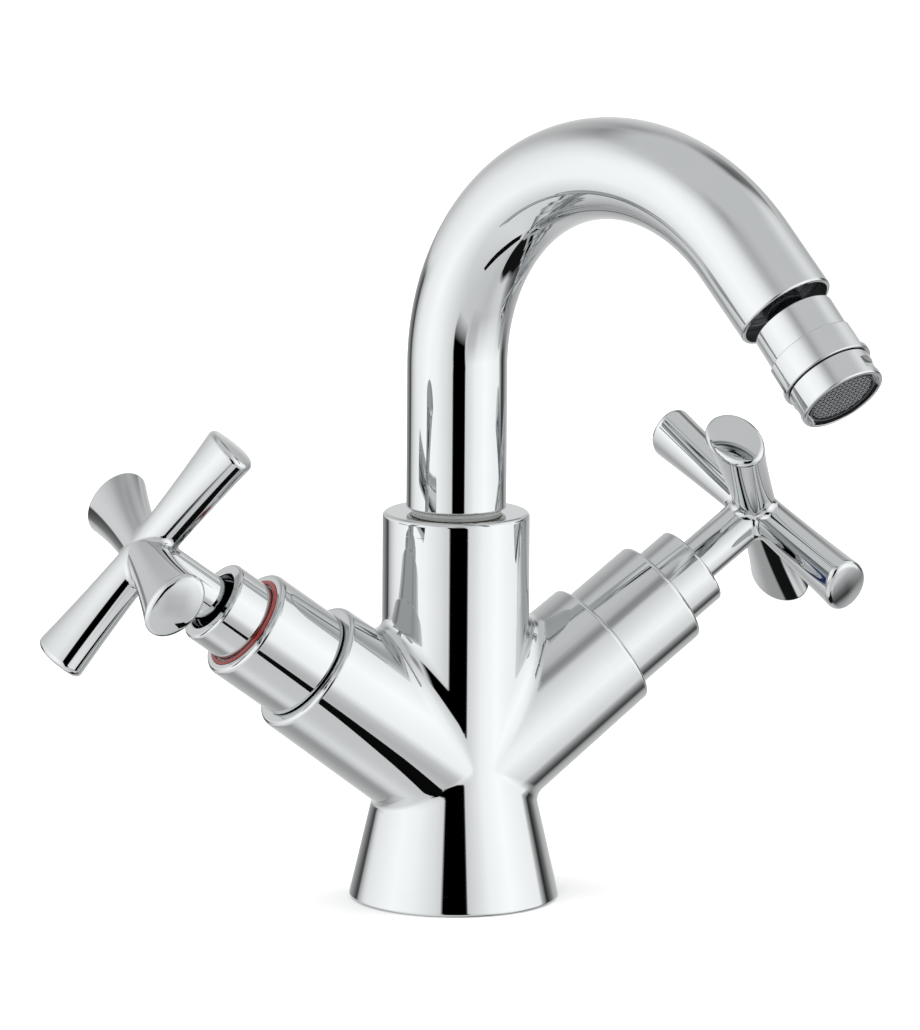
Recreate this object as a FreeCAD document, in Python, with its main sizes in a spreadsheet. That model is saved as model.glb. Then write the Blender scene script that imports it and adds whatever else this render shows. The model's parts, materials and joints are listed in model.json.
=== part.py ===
import FreeCAD, Part
import math
import os
from types import SimpleNamespace

import Sketcher

# A two-handle bidet mixer tap: a cast body with two leaning arms, ceramic quarter-turn valves with
# cross handles, an arched swivel spout and an aerator nozzle on a ball joint.
# The origin is the middle of the foot's underside. Z is up, the hot valve is at -X, the user at -Y.

# Driving sizes, in millimetres and degrees
SIZES = {
    # foot and column of the cast body
    "foot_radius": 26.0,
    "foot_height": 34.5,
    "foot_edge_round": 0.8,
    "knee_round": 12.0,
    "column_radius": 18.1,
    "column_height": 96.4,
    "column_edge_round": 1.2,
    # arms of the cast body, measured along their axis from where the two axes cross
    "arm_crossing": 31.5,
    "arm_lean": 36.2,
    "arm_root_radius": 18.0,
    "arm_end_radius": 17.05,
    "arm_length": 49.5,
    "arm_edge_round": 1.2,
    "arm_blend": 3.0,
    # underside of the foot
    "cavity_radius": 17.5,
    "cavity_depth": 10.0,
    "gasket_inner_radius": 19.5,
    "gasket_width": 3.5,
    "gasket_depth": 2.5,
    "inlet_radius": 4.46,
    "inlet_offset": 8.0,
    "inlet_thread_depth": 12.0,
    "stud_radius": 3.35,
    "stud_offset": 11.5,
    "stud_depth": 14.0,
    # waterways and valve chambers
    "passage_radius": 4.0,
    "passage_start": 9.0,
    "seat_distance": 22.0,
    "chamber_radius": 9.3,
    "chamber_length": 12.5,
    "valve_thread_radius": 10.25,
    "channel_radius": 3.0,
    "channel_length": 27.0,
    "channel_lean": 45.0,
    # spout socket in the column
    "bush_bore_radius": 10.5,
    "bush_bore_depth": 8.4,
    "spigot_bore_radius": 9.7,
    "spigot_bore_depth": 34.4,
    "mixing_radius": 8.0,
    "mixing_depth": 42.0,
    # slide bush and retaining screw of the spout
    "bush_flange_radius": 11.0,
    "bush_flange": 0.9,
    "bush_wall": 0.75,
    "retainer_depth": 12.0,
    "retainer_radius": 2.5,
    "retainer_recess": 0.8,
    "retainer_tip_radius": 1.2,
    "retainer_tip": 0.8,
    "retainer_socket_radius": 1.25,
    "retainer_socket_depth": 2.5,
    # spout tube
    "tube_radius": 12.3,
    "tube_wall": 1.0,
    "tube_rise": 35.4,
    "arch_radius": 53.7,
    "arch_turn": 135.0,
    "tube_run": 18.6,
    "tube_edge_round": 0.6,
    "spout_turn": 24.2,
    # spigot brazed into the foot of the tube
    "spigot_radius": 9.5,
    "spigot_wall": 3.0,
    "spigot_plug_length": 9.0,
    "spigot_end_gap": 0.6,
    "spigot_groove_depth": 1.2,
    "spigot_groove_width": 3.2,
    "oring_section": 1.8,
    "oring_first": 18.5,
    "oring_step": 5.0,
    # handles' valves, along the arm's axis
    "seal_height": 2.2,
    "seal_inner_radius": 4.4,
    "seal_outer_radius": 7.0,
    "disc_radius": 7.0,
    "fixed_disc_height": 3.0,
    "moving_disc_height": 2.6,
    "disc_port_radius": 1.7,
    "disc_port_offset": 3.6,
    "disc_notch": 3.4,
    "barrel_radius": 8.3,
    "barrel_start": 0.6,
    "barrel_cavity_length": 13.0,
    "window_width": 7.0,
    "window_height": 3.4,
    "headwork_thread_radius": 10.15,
    "washer_height": 1.0,
    "washer_inner_radius": 10.4,
    "washer_outer_radius": 12.3,
    "hex_flats": 21.0,
    "hex_height": 6.0,
    "neck_radius": 9.0,
    "neck_clearance": 0.45,
    "neck_recess_radius": 6.5,
    "neck_recess_depth": 6.0,
    "spindle_radius": 5.0,
    "spindle_head_radius": 6.8,
    "spindle_head_height": 2.8,
    "spindle_recess": 3.7,
    "spline_radius": 3.9,
    "tongue_width": 3.0,
    "tongue_height": 1.2,
    "spindle_seal_section": 1.6,
    "spindle_seal_inset": 8.4,
    # bonnet, index ring and sleeve
    "bonnet_radius": 14.2,
    "bonnet_wall": 1.5,
    "bonnet_gap": 0.3,
    "bonnet_length": 20.1,
    "bonnet_roof": 3.0,
    "bonnet_edge_round": 1.3,
    "index_inner_radius": 10.85,
    "index_outer_radius": 11.95,
    "index_depth": 0.8,
    "index_stand": 0.35,
    "sleeve_radius": 10.63,
    "sleeve_length": 10.2,
    "sleeve_bore_radius": 7.8,
    "sleeve_bore_depth": 5.7,
    "sleeve_edge_round": 0.9,
    # cross handles
    "stem_radius": 5.7,
    "stem_clearance": 1.05,
    "stem_length": 26.3,
    "socket_roof": 13.5,
    "cross_reach": 34.4,
    "cross_waist_half_width": 5.3,
    "cross_waist_half_height": 4.8,
    "cross_middle_half_width": 6.7,
    "cross_middle_half_height": 5.4,
    "cross_end_half_width": 9.7,
    "cross_end_half_height": 6.25,
    "cross_dome_angle": 25.0,
    "cross_tip_round": 1.5,
    "cross_blend": 1.8,
    "hot_turn": 75.2,
    "cold_turn": 35.7,
    "handle_screw_radius": 1.9,
    "handle_screw_inset": 3.5,
    "handle_screw_recess": 0.3,
    "handle_screw_socket_radius": 0.95,
    "handle_screw_socket_depth": 0.9,
    # ball joint, along the outlet's axis from the tube's mouth
    "socket_start": 15.0,
    "socket_recess": 3.5,
    "socket_thread_radius": 9.4,
    "adapter_start": 13.0,
    "adapter_recess": 5.0,
    "adapter_bore_radius": 3.6,
    "adapter_neck_radius": 5.0,
    "ball_radius": 8.0,
    "ball_centre": 7.2,
    "ball_flat": 6.3,
    "ball_play": 0.3,
    "ball_seal_height": 0.5,
    "ball_seal_from": 42.0,
    "ball_seal_to": 62.0,
    # nozzle
    "cup_radius": 10.3,
    "cup_start": 2.8,
    "cup_length": 8.9,
    "cup_lip": 0.8,
    "cup_thread_radius": 8.75,
    "cup_edge_round": 0.4,
    "collar_radius": 11.5,
    "collar_length": 7.6,
    "collar_flats": 21.4,
    "collar_flats_length": 6.2,
    "collar_edge_round": 0.35,
    "collar_spigot_length": 0.9,
    "collar_bore_radius": 5.0,
    "collar_thread_radius": 9.6,
    "collar_thread_depth": 3.4,
    "housing_radius": 10.75,
    "housing_gap": 0.2,
    "housing_length": 6.9,
    "housing_thread_length": 2.6,
    "housing_bore_radius": 9.1,
    "housing_shoulder_radius": 8.75,
    "housing_shoulder_length": 0.9,
    "housing_mouth_radius": 9.75,
    "housing_mouth_depth": 1.6,
    "housing_flats": 19.7,
    "housing_flats_start": 2.0,
    "housing_flats_length": 3.2,
    "housing_edge_round": 0.5,
    "aerator_washer_inner_radius": 6.2,
    "insert_roof": 1.6,
    "insert_rim": 0.4,
    "insert_recess": 0.5,
    "insert_jet_radius": 0.6,
    "insert_jet_ring_radius": 5.6,
    "mesh_height": 0.5,
    "mesh_recess": 0.2,
    "nozzle_side_tilt": 3.0,
    "collar_turn": 145.0,
    "housing_turn": 154.0,
    # clearances
    "fit_clearance": 0.05,
    "running_clearance": 0.1,
    "overrun": 2.0,
}
CROSS_ARMS = 4
HEX_SIDES = 6
INSERT_JETS = 10
FULL_TURN = 360
RIGHT_ANGLE = 90
SAME_LENGTH = 1e-4

doc = FreeCAD.newDocument("bidet_mixer_tap")
sheet = doc.addObject("Spreadsheet::Sheet", "Sizes")
for row, (alias, number) in enumerate(SIZES.items(), start=1):
    sheet.set(f"A{row}", alias)
    sheet.set(f"B{row}", str(number))
    sheet.setAlias(f"B{row}", alias)
doc.recompute()


class Size:
    """A size: its number, and the formula in the sheet's names that gives it."""

    def __init__(self, number, formula=None):
        self.number = float(number)
        self.formula = formula or str(number)

    def _join(self, other, sign, number):
        return Size(number, f"({self.formula} {sign} {other.formula})")

    def __add__(self, other):
        other = as_size(other)
        return self._join(other, "+", self.number + other.number)

    def __sub__(self, other):
        other = as_size(other)
        return self._join(other, "-", self.number - other.number)

    def __mul__(self, other):
        other = as_size(other)
        return self._join(other, "*", self.number * other.number)

    def __truediv__(self, other):
        other = as_size(other)
        return self._join(other, "/", self.number / other.number)

    def __neg__(self):
        return Size(-self.number, f"(0 - {self.formula})")


def as_size(value):
    return value if isinstance(value, Size) else Size(value)


def sine(angle):
    return Size(math.sin(math.radians(angle.number)), f"sin({angle.formula} * 1 deg)")


def cosine(angle):
    return Size(math.cos(math.radians(angle.number)), f"cos({angle.formula} * 1 deg)")


def slope(rise, run):
    """The angle, in degrees, of a line from its two sides."""
    number = math.degrees(math.atan(rise.number / run.number))
    return Size(number, f"(atan({rise.formula} / {run.formula}) / 1 deg)")


def leg(longest, other):
    """The third side of a right triangle from its longest side and another side."""
    number = math.sqrt(longest.number ** 2 - other.number ** 2)
    return Size(number, f"sqrt({longest.formula} ^ 2 - {other.formula} ^ 2)")


ZERO = Size(0)
S = SimpleNamespace(**{alias: Size(sheet.get(alias), f"Sizes.{alias}") for alias in SIZES})

PIECES = []


def new_piece(label, placement=None):
    """An empty body with its label and its place in the tap."""
    body = doc.addObject("PartDesign::Body", label)
    body.Label = label
    if placement:
        body.setExpression("Placement", placement)
    PIECES.append(body)
    return body


def vector(x, y, z):
    return f"vector({as_size(x).formula}; {as_size(y).formula}; {as_size(z).formula})"


def turn(axis, angle):
    return f"rotation({vector(*axis)}; {as_size(angle).formula})"


def place(x=ZERO, y=ZERO, z=ZERO, turns=()):
    """The formula of a placement: the turns act from the last to the first, then the shift."""
    rotation = " * ".join(turns) if turns else turn((0, 0, 1), 0)
    return f"placement({vector(x, y, z)}; {rotation})"


def plane(body, role):
    return next(feature for feature in body.Origin.OriginFeatures if feature.Role == role)


def pin_point(sketch, geometry, end, x, y):
    """Ties one point of a sketch to its two formulas."""
    for kind, axis, size in (("DistanceX", -2, x), ("DistanceY", -1, y)):
        size = as_size(size)
        if size.number == 0:
            sketch.addConstraint(Sketcher.Constraint("PointOnObject", geometry, end, axis))
        else:
            index = sketch.addConstraint(Sketcher.Constraint(kind, -1, 1, geometry, end, size.number))
            sketch.setExpression(f"Constraints[{index}]", size.formula)


def flat(x, y):
    return FreeCAD.Vector(as_size(x).number, as_size(y).number, 0)


def outline(body, name, corners, role="XZ_Plane", offset=None, closed=True):
    """A sketch through the corners (x, y); a corner (x, y, (u, v)) is reached by an arc through (u, v)."""
    sketch = body.newObject("Sketcher::SketchObject", name)
    sketch.AttachmentSupport = [(plane(body, role), "")]
    sketch.MapMode = "FlatFace"
    if offset:
        sketch.setExpression("AttachmentOffset", offset)
    count = len(corners)
    first_end = {}
    last_end = {}
    steps = range(1, count + 1) if closed else range(1, count)
    for step in steps:
        start, stop = corners[step - 1], corners[step % count]
        if len(stop) == 3:
            arc = Part.Arc(flat(*start[:2]), flat(*stop[2]), flat(*stop[:2]))
            edge = sketch.addGeometry(arc, False)
            forward = sketch.getPoint(edge, 1).distanceToPoint(flat(*start[:2])) < SAME_LENGTH
            first_end[step] = (edge, 1 if forward else 2)
            last_end[step] = (edge, 2 if forward else 1)
            middle = sketch.addGeometry(Part.Point(flat(*stop[2])), True)
            pin_point(sketch, middle, 1, *stop[2])
            sketch.addConstraint(Sketcher.Constraint("PointOnObject", middle, 1, edge))
        else:
            edge = sketch.addGeometry(Part.LineSegment(flat(*start[:2]), flat(*stop[:2])), False)
            first_end[step] = (edge, 1)
            last_end[step] = (edge, 2)
    for step in steps:
        follower = step % count + 1 if closed else step + 1
        if follower in first_end:
            sketch.addConstraint(Sketcher.Constraint("Coincident", *last_end[step], *first_end[follower]))
        pin_point(sketch, *first_end[step], *corners[step - 1][:2])
    if not closed:
        pin_point(sketch, *last_end[count - 1], *corners[-1][:2])
    return sketch


def spin(body, name, corners, offset=None, cut=False, axis="V_Axis", role="XZ_Plane"):
    """Adds or cuts the solid that an outline sweeps in a full turn about the sketch's axis."""
    sketch = outline(body, f"{name}_outline", corners, role=role, offset=offset)
    kind = "PartDesign::Groove" if cut else "PartDesign::Revolution"
    feature = body.newObject(kind, name)
    feature.Profile = sketch
    feature.ReferenceAxis = (sketch, [axis])
    feature.Angle = FULL_TURN
    return feature


def drill(body, name, radius, length, placement):
    """A round hole: it starts at the placement and runs along that placement's own Z."""
    hole = body.newObject("PartDesign::SubtractiveCylinder", name)
    hole.setExpression("Radius", radius.formula)
    hole.setExpression("Height", length.formula)
    hole.setExpression("Placement", placement)
    return hole


def slab(body, name, size, placement):
    """A rectangular cut whose corner is at the placement."""
    box = body.newObject("PartDesign::SubtractiveBox", name)
    for side, length in zip(("Length", "Width", "Height"), size):
        box.setExpression(side, length.formula)
    box.setExpression("Placement", placement)
    return box


def repeat(body, name, feature, count, role="Z_Axis"):
    """Copies of a feature at even steps round the piece's axis."""
    pattern = body.newObject("PartDesign::PolarPattern", name)
    pattern.Originals = [feature]
    pattern.Axis = (plane(body, role), [""])
    pattern.Angle = FULL_TURN
    pattern.Occurrences = count
    body.Tip = pattern
    return pattern


def round_edges(body, name, radius, wanted):
    """Rounds the edges that the test picks from the body's present shape."""
    doc.recompute()
    before = body.Tip
    shape = before.Shape
    names = [f"Edge{number}" for number, edge in enumerate(shape.Edges, start=1) if wanted(shape, edge)]
    if not names:
        raise ValueError(f"{body.Label}: no edge for {name}")
    fillet = body.newObject("PartDesign::Fillet", name)
    fillet.Base = (before, names)
    fillet.setExpression("Radius", radius.formula)
    doc.recompute()
    if fillet.Shape.isNull() or fillet.Shape.Volume <= 0:
        raise ValueError(f"{body.Label}: {name} did not round")
    return fillet


def alike(first, second):
    return abs(first - second) < SAME_LENGTH


def surfaces(shape, edge):
    return [face.Surface for face in shape.ancestorsOfType(edge, Part.Face)]


def rectangle(inner, outer, bottom, top):
    return [(inner, bottom), (outer, bottom), (outer, top), (inner, top)]


def halfway(low, high):
    return (low + high) / 2


ROUND_MIDDLE_SHARE = 1 - math.cos(math.tau / 8)


def round_top(radius, top, rim):
    """The corners of a quarter round where an outer wall meets a top face, going up."""
    inset = rim * ROUND_MIDDLE_SHARE
    return [(radius, top - rim), (radius - rim, top, (radius - inset, top - inset))]


def reversed_arcs(corners):
    """The same rounded corner, passed the other way."""
    (first_x, first_y), (last_x, last_y, middle) = corners
    return [(last_x, last_y), (first_x, first_y, middle)]


def round_bottom(radius, bottom, rim):
    """The corners of a quarter round where a bottom face meets an outer wall, going up."""
    inset = rim * ROUND_MIDDLE_SHARE
    return [(radius - rim, bottom), (radius, bottom + rim, (radius - inset, bottom + inset))]


# Places: each side's valve frame has its origin where the arms' axes cross and its Z along the arm.
VALVE_TILT = Size(RIGHT_ANGLE) - S.arm_lean
SIDES = {"hot": (-VALVE_TILT, S.hot_turn), "cold": (VALVE_TILT, S.cold_turn)}
VALVE_PLACE = {
    side: place(z=S.arm_crossing, turns=[turn((0, 1, 0), tilt)]) for side, (tilt, _) in SIDES.items()
}
HANDLE_PLACE = {
    side: place(z=S.arm_crossing, turns=[turn((0, 1, 0), tilt), turn((0, 0, 1), handle_turn)])
    for side, (tilt, handle_turn) in SIDES.items()
}
# The spout's frame keeps Z and turns X to the way the spout points.
# The outlet's frame has its origin in the tube's mouth and its Z along the way the water leaves.
TUBE_BOTTOM = S.column_height + S.bush_flange + S.running_clearance
TUBE_BORE = S.tube_radius - S.tube_wall
ARCH_START = TUBE_BOTTOM + S.tube_rise
ARCH_END_X = S.arch_radius - S.arch_radius * cosine(S.arch_turn)
ARCH_END_Z = ARCH_START + S.arch_radius * sine(S.arch_turn)
MOUTH_X = ARCH_END_X + S.tube_run * sine(S.arch_turn)
MOUTH_Z = ARCH_END_Z + S.tube_run * cosine(S.arch_turn)
SPOUT_YAW = S.spout_turn - RIGHT_ANGLE
SPOUT_PLACE = place(turns=[turn((0, 0, 1), SPOUT_YAW)])
OUTLET_PLACE = place(
    MOUTH_X * cosine(SPOUT_YAW),
    MOUTH_X * sine(SPOUT_YAW),
    MOUTH_Z,
    turns=[turn((0, 0, 1), SPOUT_YAW), turn((0, 1, 0), S.arch_turn)],
)


def nozzle_place(spin_angle=ZERO):
    """The outlet's frame, tilted sideways about the ball and turned about the nozzle's own axis."""
    tilted = place(z=S.ball_centre, turns=[turn((1, 0, 0), S.nozzle_side_tilt), turn((0, 0, 1), spin_angle)])
    return f"{OUTLET_PLACE} * {tilted} * {place(z=-S.ball_centre)}"


# Heights along the arm's axis
SEAL_TOP = S.seat_distance + S.seal_height
FIXED_TOP = SEAL_TOP + S.fixed_disc_height
MOVING_BOTTOM = FIXED_TOP + S.fit_clearance
MOVING_TOP = MOVING_BOTTOM + S.moving_disc_height
CAVITY_TOP = S.seat_distance + S.barrel_start + S.barrel_cavity_length
CHAMBER_TOP = S.seat_distance + S.chamber_length
WASHER_TOP = S.arm_length + S.washer_height
HEX_TOP = WASHER_TOP + S.hex_height
BONNET_BOTTOM = S.arm_length + S.bonnet_gap
BONNET_TOP = S.arm_length + S.bonnet_length
SLEEVE_BOTTOM = BONNET_TOP + S.fit_clearance
SLEEVE_TOP = SLEEVE_BOTTOM + S.sleeve_length
SLEEVE_STEP = SLEEVE_TOP - S.sleeve_bore_depth
NECK_TOP = SLEEVE_STEP - S.neck_clearance
SPINDLE_SEAL = CAVITY_TOP + S.spindle_seal_inset
SPINDLE_SHOULDER = NECK_TOP - S.spindle_recess
STEM_START = SLEEVE_STEP + S.stem_clearance
HUB_DISTANCE = STEM_START + S.stem_length
SPINDLE_TOP = HUB_DISTANCE - S.socket_roof
HANDLE_SCREW = SPINDLE_TOP - S.handle_screw_inset
DISC_POCKET = S.disc_radius + S.running_clearance


def mixer_body():
    """Cast body: foot and column in one turning, two arms blended in, then the bores."""
    body = new_piece("mixer_body")
    flare = slope(S.foot_radius - S.column_radius, S.foot_height)
    knee = S.knee_round * sine(flare / 2) / cosine(flare / 2)
    knee_top = S.foot_height + knee
    spin(body, "foot_and_column", [
        (ZERO, ZERO),
        *round_bottom(S.foot_radius, ZERO, S.foot_edge_round),
        (S.column_radius + knee * sine(flare), S.foot_height - knee * cosine(flare)),
        (S.column_radius, knee_top, (
            S.column_radius + S.knee_round - S.knee_round * cosine(flare / 2),
            knee_top - S.knee_round * sine(flare / 2),
        )),
        *round_top(S.column_radius, S.column_height, S.column_edge_round),
        (ZERO, S.column_height),
    ], role="YZ_Plane")
    arm_frames = {
        side: place(y=S.arm_crossing, turns=[turn((0, 0, 1), -tilt)]) for side, (tilt, _) in SIDES.items()
    }
    taper = slope(S.arm_root_radius - S.arm_end_radius, S.arm_length)
    edge_radius = S.arm_end_radius + (S.arm_edge_round * sine(taper) - S.arm_edge_round) / cosine(taper)
    edge_height = S.arm_length - S.arm_edge_round
    halfway = (taper + RIGHT_ANGLE) / 2
    for side, frame in arm_frames.items():
        spin(body, f"{side}_arm", [
            (ZERO, ZERO),
            (S.arm_root_radius, ZERO),
            (edge_radius + S.arm_edge_round * cosine(taper), edge_height + S.arm_edge_round * sine(taper)),
            (edge_radius, S.arm_length, (
                edge_radius + S.arm_edge_round * cosine(halfway),
                edge_height + S.arm_edge_round * sine(halfway),
            )),
            (ZERO, S.arm_length),
        ], offset=frame)

    def arm_root(shape, edge):
        """Edges where an arm's cone meets a face that is turned about the column's axis."""
        pair = surfaces(shape, edge)
        if len(pair) != 2 or any(isinstance(surface, Part.Plane) for surface in pair):
            return False
        upright = [abs(surface.Axis.z) > cosine(S.arm_lean).number for surface in pair]
        return upright[0] != upright[1]

    round_edges(body, "arm_roots", S.arm_blend, arm_root)

    spin(body, "cavity", rectangle(ZERO, S.cavity_radius, -S.overrun, S.cavity_depth), cut=True)
    spin(body, "gasket_groove", rectangle(
        S.gasket_inner_radius, S.gasket_inner_radius + S.gasket_width, -S.overrun, S.gasket_depth), cut=True)
    spigot_floor = S.column_height - S.spigot_bore_depth
    mixing_floor = S.column_height - S.mixing_depth
    bush_floor = S.column_height - S.bush_bore_depth
    spin(body, "spout_socket", [
        (ZERO, mixing_floor),
        (S.mixing_radius, mixing_floor),
        (S.mixing_radius, spigot_floor),
        (S.spigot_bore_radius, spigot_floor),
        (S.spigot_bore_radius, bush_floor),
        (S.bush_bore_radius, bush_floor),
        (S.bush_bore_radius, S.column_height + S.overrun),
        (ZERO, S.column_height + S.overrun),
    ], cut=True)
    for side, frame in arm_frames.items():
        spin(body, f"{side}_valve_bore", [
            (ZERO, S.passage_start),
            (S.passage_radius, S.passage_start),
            (S.passage_radius, S.seat_distance),
            (S.chamber_radius, S.seat_distance),
            (S.chamber_radius, CHAMBER_TOP),
            (S.valve_thread_radius, CHAMBER_TOP),
            (S.valve_thread_radius, S.arm_length + S.overrun),
            (ZERO, S.arm_length + S.overrun),
        ], offset=frame, cut=True)

    chamber_middle = S.seat_distance + S.chamber_length / 2
    axis_height = S.arm_crossing + S.inlet_offset * sine(S.arm_lean) / cosine(S.arm_lean)
    for side, sign in (("hot", -1), ("cold", 1)):
        drill(body, f"{side}_inlet", S.inlet_radius, S.inlet_thread_depth,
              place(S.inlet_offset * sign, ZERO, S.cavity_depth))
        drill(body, f"{side}_riser", S.passage_radius, axis_height - S.cavity_depth,
              place(S.inlet_offset * sign, ZERO, S.cavity_depth))
        drill(body, f"{side}_channel", S.channel_radius, S.channel_length, place(
            chamber_middle * cosine(S.arm_lean) * sign,
            ZERO,
            S.arm_crossing + chamber_middle * sine(S.arm_lean),
            turns=[turn((0, 1, 0), -S.channel_lean * sign)],
        ))
    drill(body, "stud_hole", S.stud_radius, S.stud_depth, place(ZERO, S.stud_offset, S.cavity_depth))
    drill(body, "retainer_hole", S.retainer_radius + S.fit_clearance, S.column_radius + S.overrun, place(
        ZERO, ZERO, S.column_height - S.retainer_depth, turns=[turn((1, 0, 0), -RIGHT_ANGLE)]))


def base_gasket():
    """Flat rubber ring in the foot's groove."""
    body = new_piece("base_gasket")
    spin(body, "ring", rectangle(
        S.gasket_inner_radius + S.fit_clearance,
        S.gasket_inner_radius + S.gasket_width - S.fit_clearance,
        ZERO,
        S.gasket_depth - S.fit_clearance,
    ))


def spout_bush():
    """Plastic slide bush: its flange parts the tube from the column, and shows as a pale line."""
    body = new_piece("spout_bush")
    outer = S.bush_bore_radius - S.fit_clearance
    inner = outer - S.bush_wall
    bottom = S.column_height - S.bush_bore_depth + S.fit_clearance
    top = S.column_height + S.bush_flange
    spin(body, "bush", [
        (inner, bottom),
        (outer, bottom),
        (outer, S.column_height),
        (S.bush_flange_radius, S.column_height),
        (S.bush_flange_radius, top),
        (inner, top),
    ])


def spout_retaining_screw():
    """Grub screw in the back of the column, whose tip runs in the spigot's groove."""
    body = new_piece("spout_retaining_screw", place(
        ZERO, ZERO, S.column_height - S.retainer_depth, turns=[turn((1, 0, 0), -RIGHT_ANGLE)]))
    head = S.column_radius - S.retainer_recess
    shank = S.spigot_bore_radius + S.running_clearance
    tip = shank - S.retainer_tip
    socket = head - S.retainer_socket_depth
    spin(body, "screw", [
        (ZERO, tip),
        (S.retainer_tip_radius, tip),
        (S.retainer_tip_radius, shank),
        (S.retainer_radius, shank),
        (S.retainer_radius, head),
        (S.retainer_socket_radius, head),
        (S.retainer_socket_radius, socket),
        (ZERO, socket),
    ])


def seat_seal(side):
    """Rubber seal between the valve seat and the fixed disc."""
    body = new_piece(f"{side}_seat_seal", VALVE_PLACE[side])
    spin(body, "ring", rectangle(S.seal_inner_radius, S.seal_outer_radius, S.seat_distance, SEAL_TOP))


def fixed_disc(side):
    """Lower ceramic disc with its two ports."""
    body = new_piece(f"{side}_fixed_disc", VALVE_PLACE[side])
    spin(body, "disc", rectangle(ZERO, S.disc_radius, SEAL_TOP, FIXED_TOP))
    port = drill(body, "port", S.disc_port_radius, S.fixed_disc_height + S.overrun * 2, place(
        S.disc_port_offset, ZERO, SEAL_TOP - S.overrun))
    repeat(body, "ports", port, 2)


def moving_disc(side):
    """Upper ceramic disc: two notches open the ports, and a slot takes the spindle's tongue."""
    body = new_piece(f"{side}_moving_disc", HANDLE_PLACE[side])
    spin(body, "disc", rectangle(ZERO, S.disc_radius - S.running_clearance, MOVING_BOTTOM, MOVING_TOP))
    notch = slab(body, "notch", (S.disc_notch, S.disc_notch, S.moving_disc_height + S.overrun * 2), place(
        S.disc_radius - S.disc_notch, -S.disc_notch / 2, MOVING_BOTTOM - S.overrun))
    repeat(body, "notches", notch, 2)
    slot_width = S.tongue_width + S.running_clearance * 2
    slab(body, "slot", (slot_width, S.disc_radius * 2, S.tongue_height + S.overrun), place(
        -slot_width / 2, -S.disc_radius, MOVING_TOP - S.tongue_height))


def headwork_body(side):
    """Valve body: a barrel round the discs, a threaded part, a hexagon and a neck for the sleeve."""
    body = new_piece(f"{side}_headwork_body", VALVE_PLACE[side])
    barrel_bottom = S.seat_distance + S.barrel_start
    thread_bottom = CHAMBER_TOP + S.running_clearance
    bore = S.spindle_radius + S.running_clearance
    spin(body, "turning", [
        (DISC_POCKET, barrel_bottom),
        (S.barrel_radius, barrel_bottom),
        (S.barrel_radius, thread_bottom),
        (S.headwork_thread_radius, thread_bottom),
        (S.headwork_thread_radius, WASHER_TOP),
        (S.neck_radius, HEX_TOP),
        (S.neck_radius, NECK_TOP),
        (S.neck_recess_radius, NECK_TOP),
        (S.neck_recess_radius, NECK_TOP - S.neck_recess_depth),
        (bore, NECK_TOP - S.neck_recess_depth),
        (bore, CAVITY_TOP),
        (DISC_POCKET, CAVITY_TOP),
    ])
    corner = S.hex_flats / 2 / cosine(Size(RIGHT_ANGLE) / 3)
    sketch = outline(body, "hexagon", [
        (corner * math.cos(math.tau * k / HEX_SIDES), corner * math.sin(math.tau * k / HEX_SIDES))
        for k in range(HEX_SIDES)
    ], role="XY_Plane", offset=place(z=WASHER_TOP))
    hexagon = body.newObject("PartDesign::Pad", "hexagon_pad")
    hexagon.Profile = sketch
    hexagon.setExpression("Length", S.hex_height.formula)
    spin(body, "spindle_bore", rectangle(ZERO, bore, WASHER_TOP - S.overrun, HEX_TOP + S.overrun), cut=True)
    slab(body, "windows", (S.barrel_radius * 2 + S.overrun, S.window_width, S.window_height), place(
        -S.barrel_radius - S.overrun / 2, -S.window_width / 2, CAVITY_TOP - S.window_height))


def headwork_washer(side):
    """Sealing washer between the headwork's hexagon and the arm's end face."""
    body = new_piece(f"{side}_headwork_washer", VALVE_PLACE[side])
    spin(body, "ring", rectangle(S.washer_inner_radius, S.washer_outer_radius, S.arm_length, WASHER_TOP))


def spindle(side):
    """Spindle: a drive head with a tongue for the moving disc, a shaft and the splined end."""
    body = new_piece(f"{side}_spindle", HANDLE_PLACE[side])
    head_bottom = MOVING_TOP + S.running_clearance
    head_top = head_bottom + S.spindle_head_height
    groove = S.spindle_radius - S.spindle_seal_section
    groove_low = SPINDLE_SEAL - S.running_clearance
    groove_high = SPINDLE_SEAL + S.spindle_seal_section + S.running_clearance
    spin(body, "turning", [
        (ZERO, head_bottom),
        (S.spindle_head_radius, head_bottom),
        (S.spindle_head_radius, head_top),
        (S.spindle_radius, head_top),
        (S.spindle_radius, groove_low),
        (groove, groove_low),
        (groove, groove_high),
        (S.spindle_radius, groove_high),
        (S.spindle_radius, SPINDLE_SHOULDER),
        (S.spline_radius, SPINDLE_SHOULDER),
        (S.spline_radius, SPINDLE_TOP),
        (ZERO, SPINDLE_TOP),
    ])
    tongue = body.newObject("PartDesign::AdditiveBox", "tongue")
    tongue_depth = S.tongue_height - S.running_clearance
    half = leg(S.spindle_head_radius, S.tongue_width / 2)
    tongue_sides = {"Length": S.tongue_width, "Width": half * 2, "Height": tongue_depth + S.overrun}
    for name, length in tongue_sides.items():
        tongue.setExpression(name, length.formula)
    tongue.setExpression("Placement", place(
        -S.tongue_width / 2, -half, MOVING_TOP - tongue_depth))


def spindle_oring(side):
    """Rubber ring in the spindle's groove."""
    body = new_piece(f"{side}_spindle_oring", HANDLE_PLACE[side])
    half = S.spindle_seal_section / 2
    centre = S.spindle_radius + S.running_clearance / 2 - half
    round_ring(body, centre, SPINDLE_SEAL + half, half)


def round_ring(body, centre, height, half):
    """A ring of round section."""
    torus = body.newObject("PartDesign::AdditiveTorus", "ring")
    torus.setExpression("Radius1", centre.formula)
    torus.setExpression("Radius2", half.formula)
    torus.setExpression("Placement", place(z=height))


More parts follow.
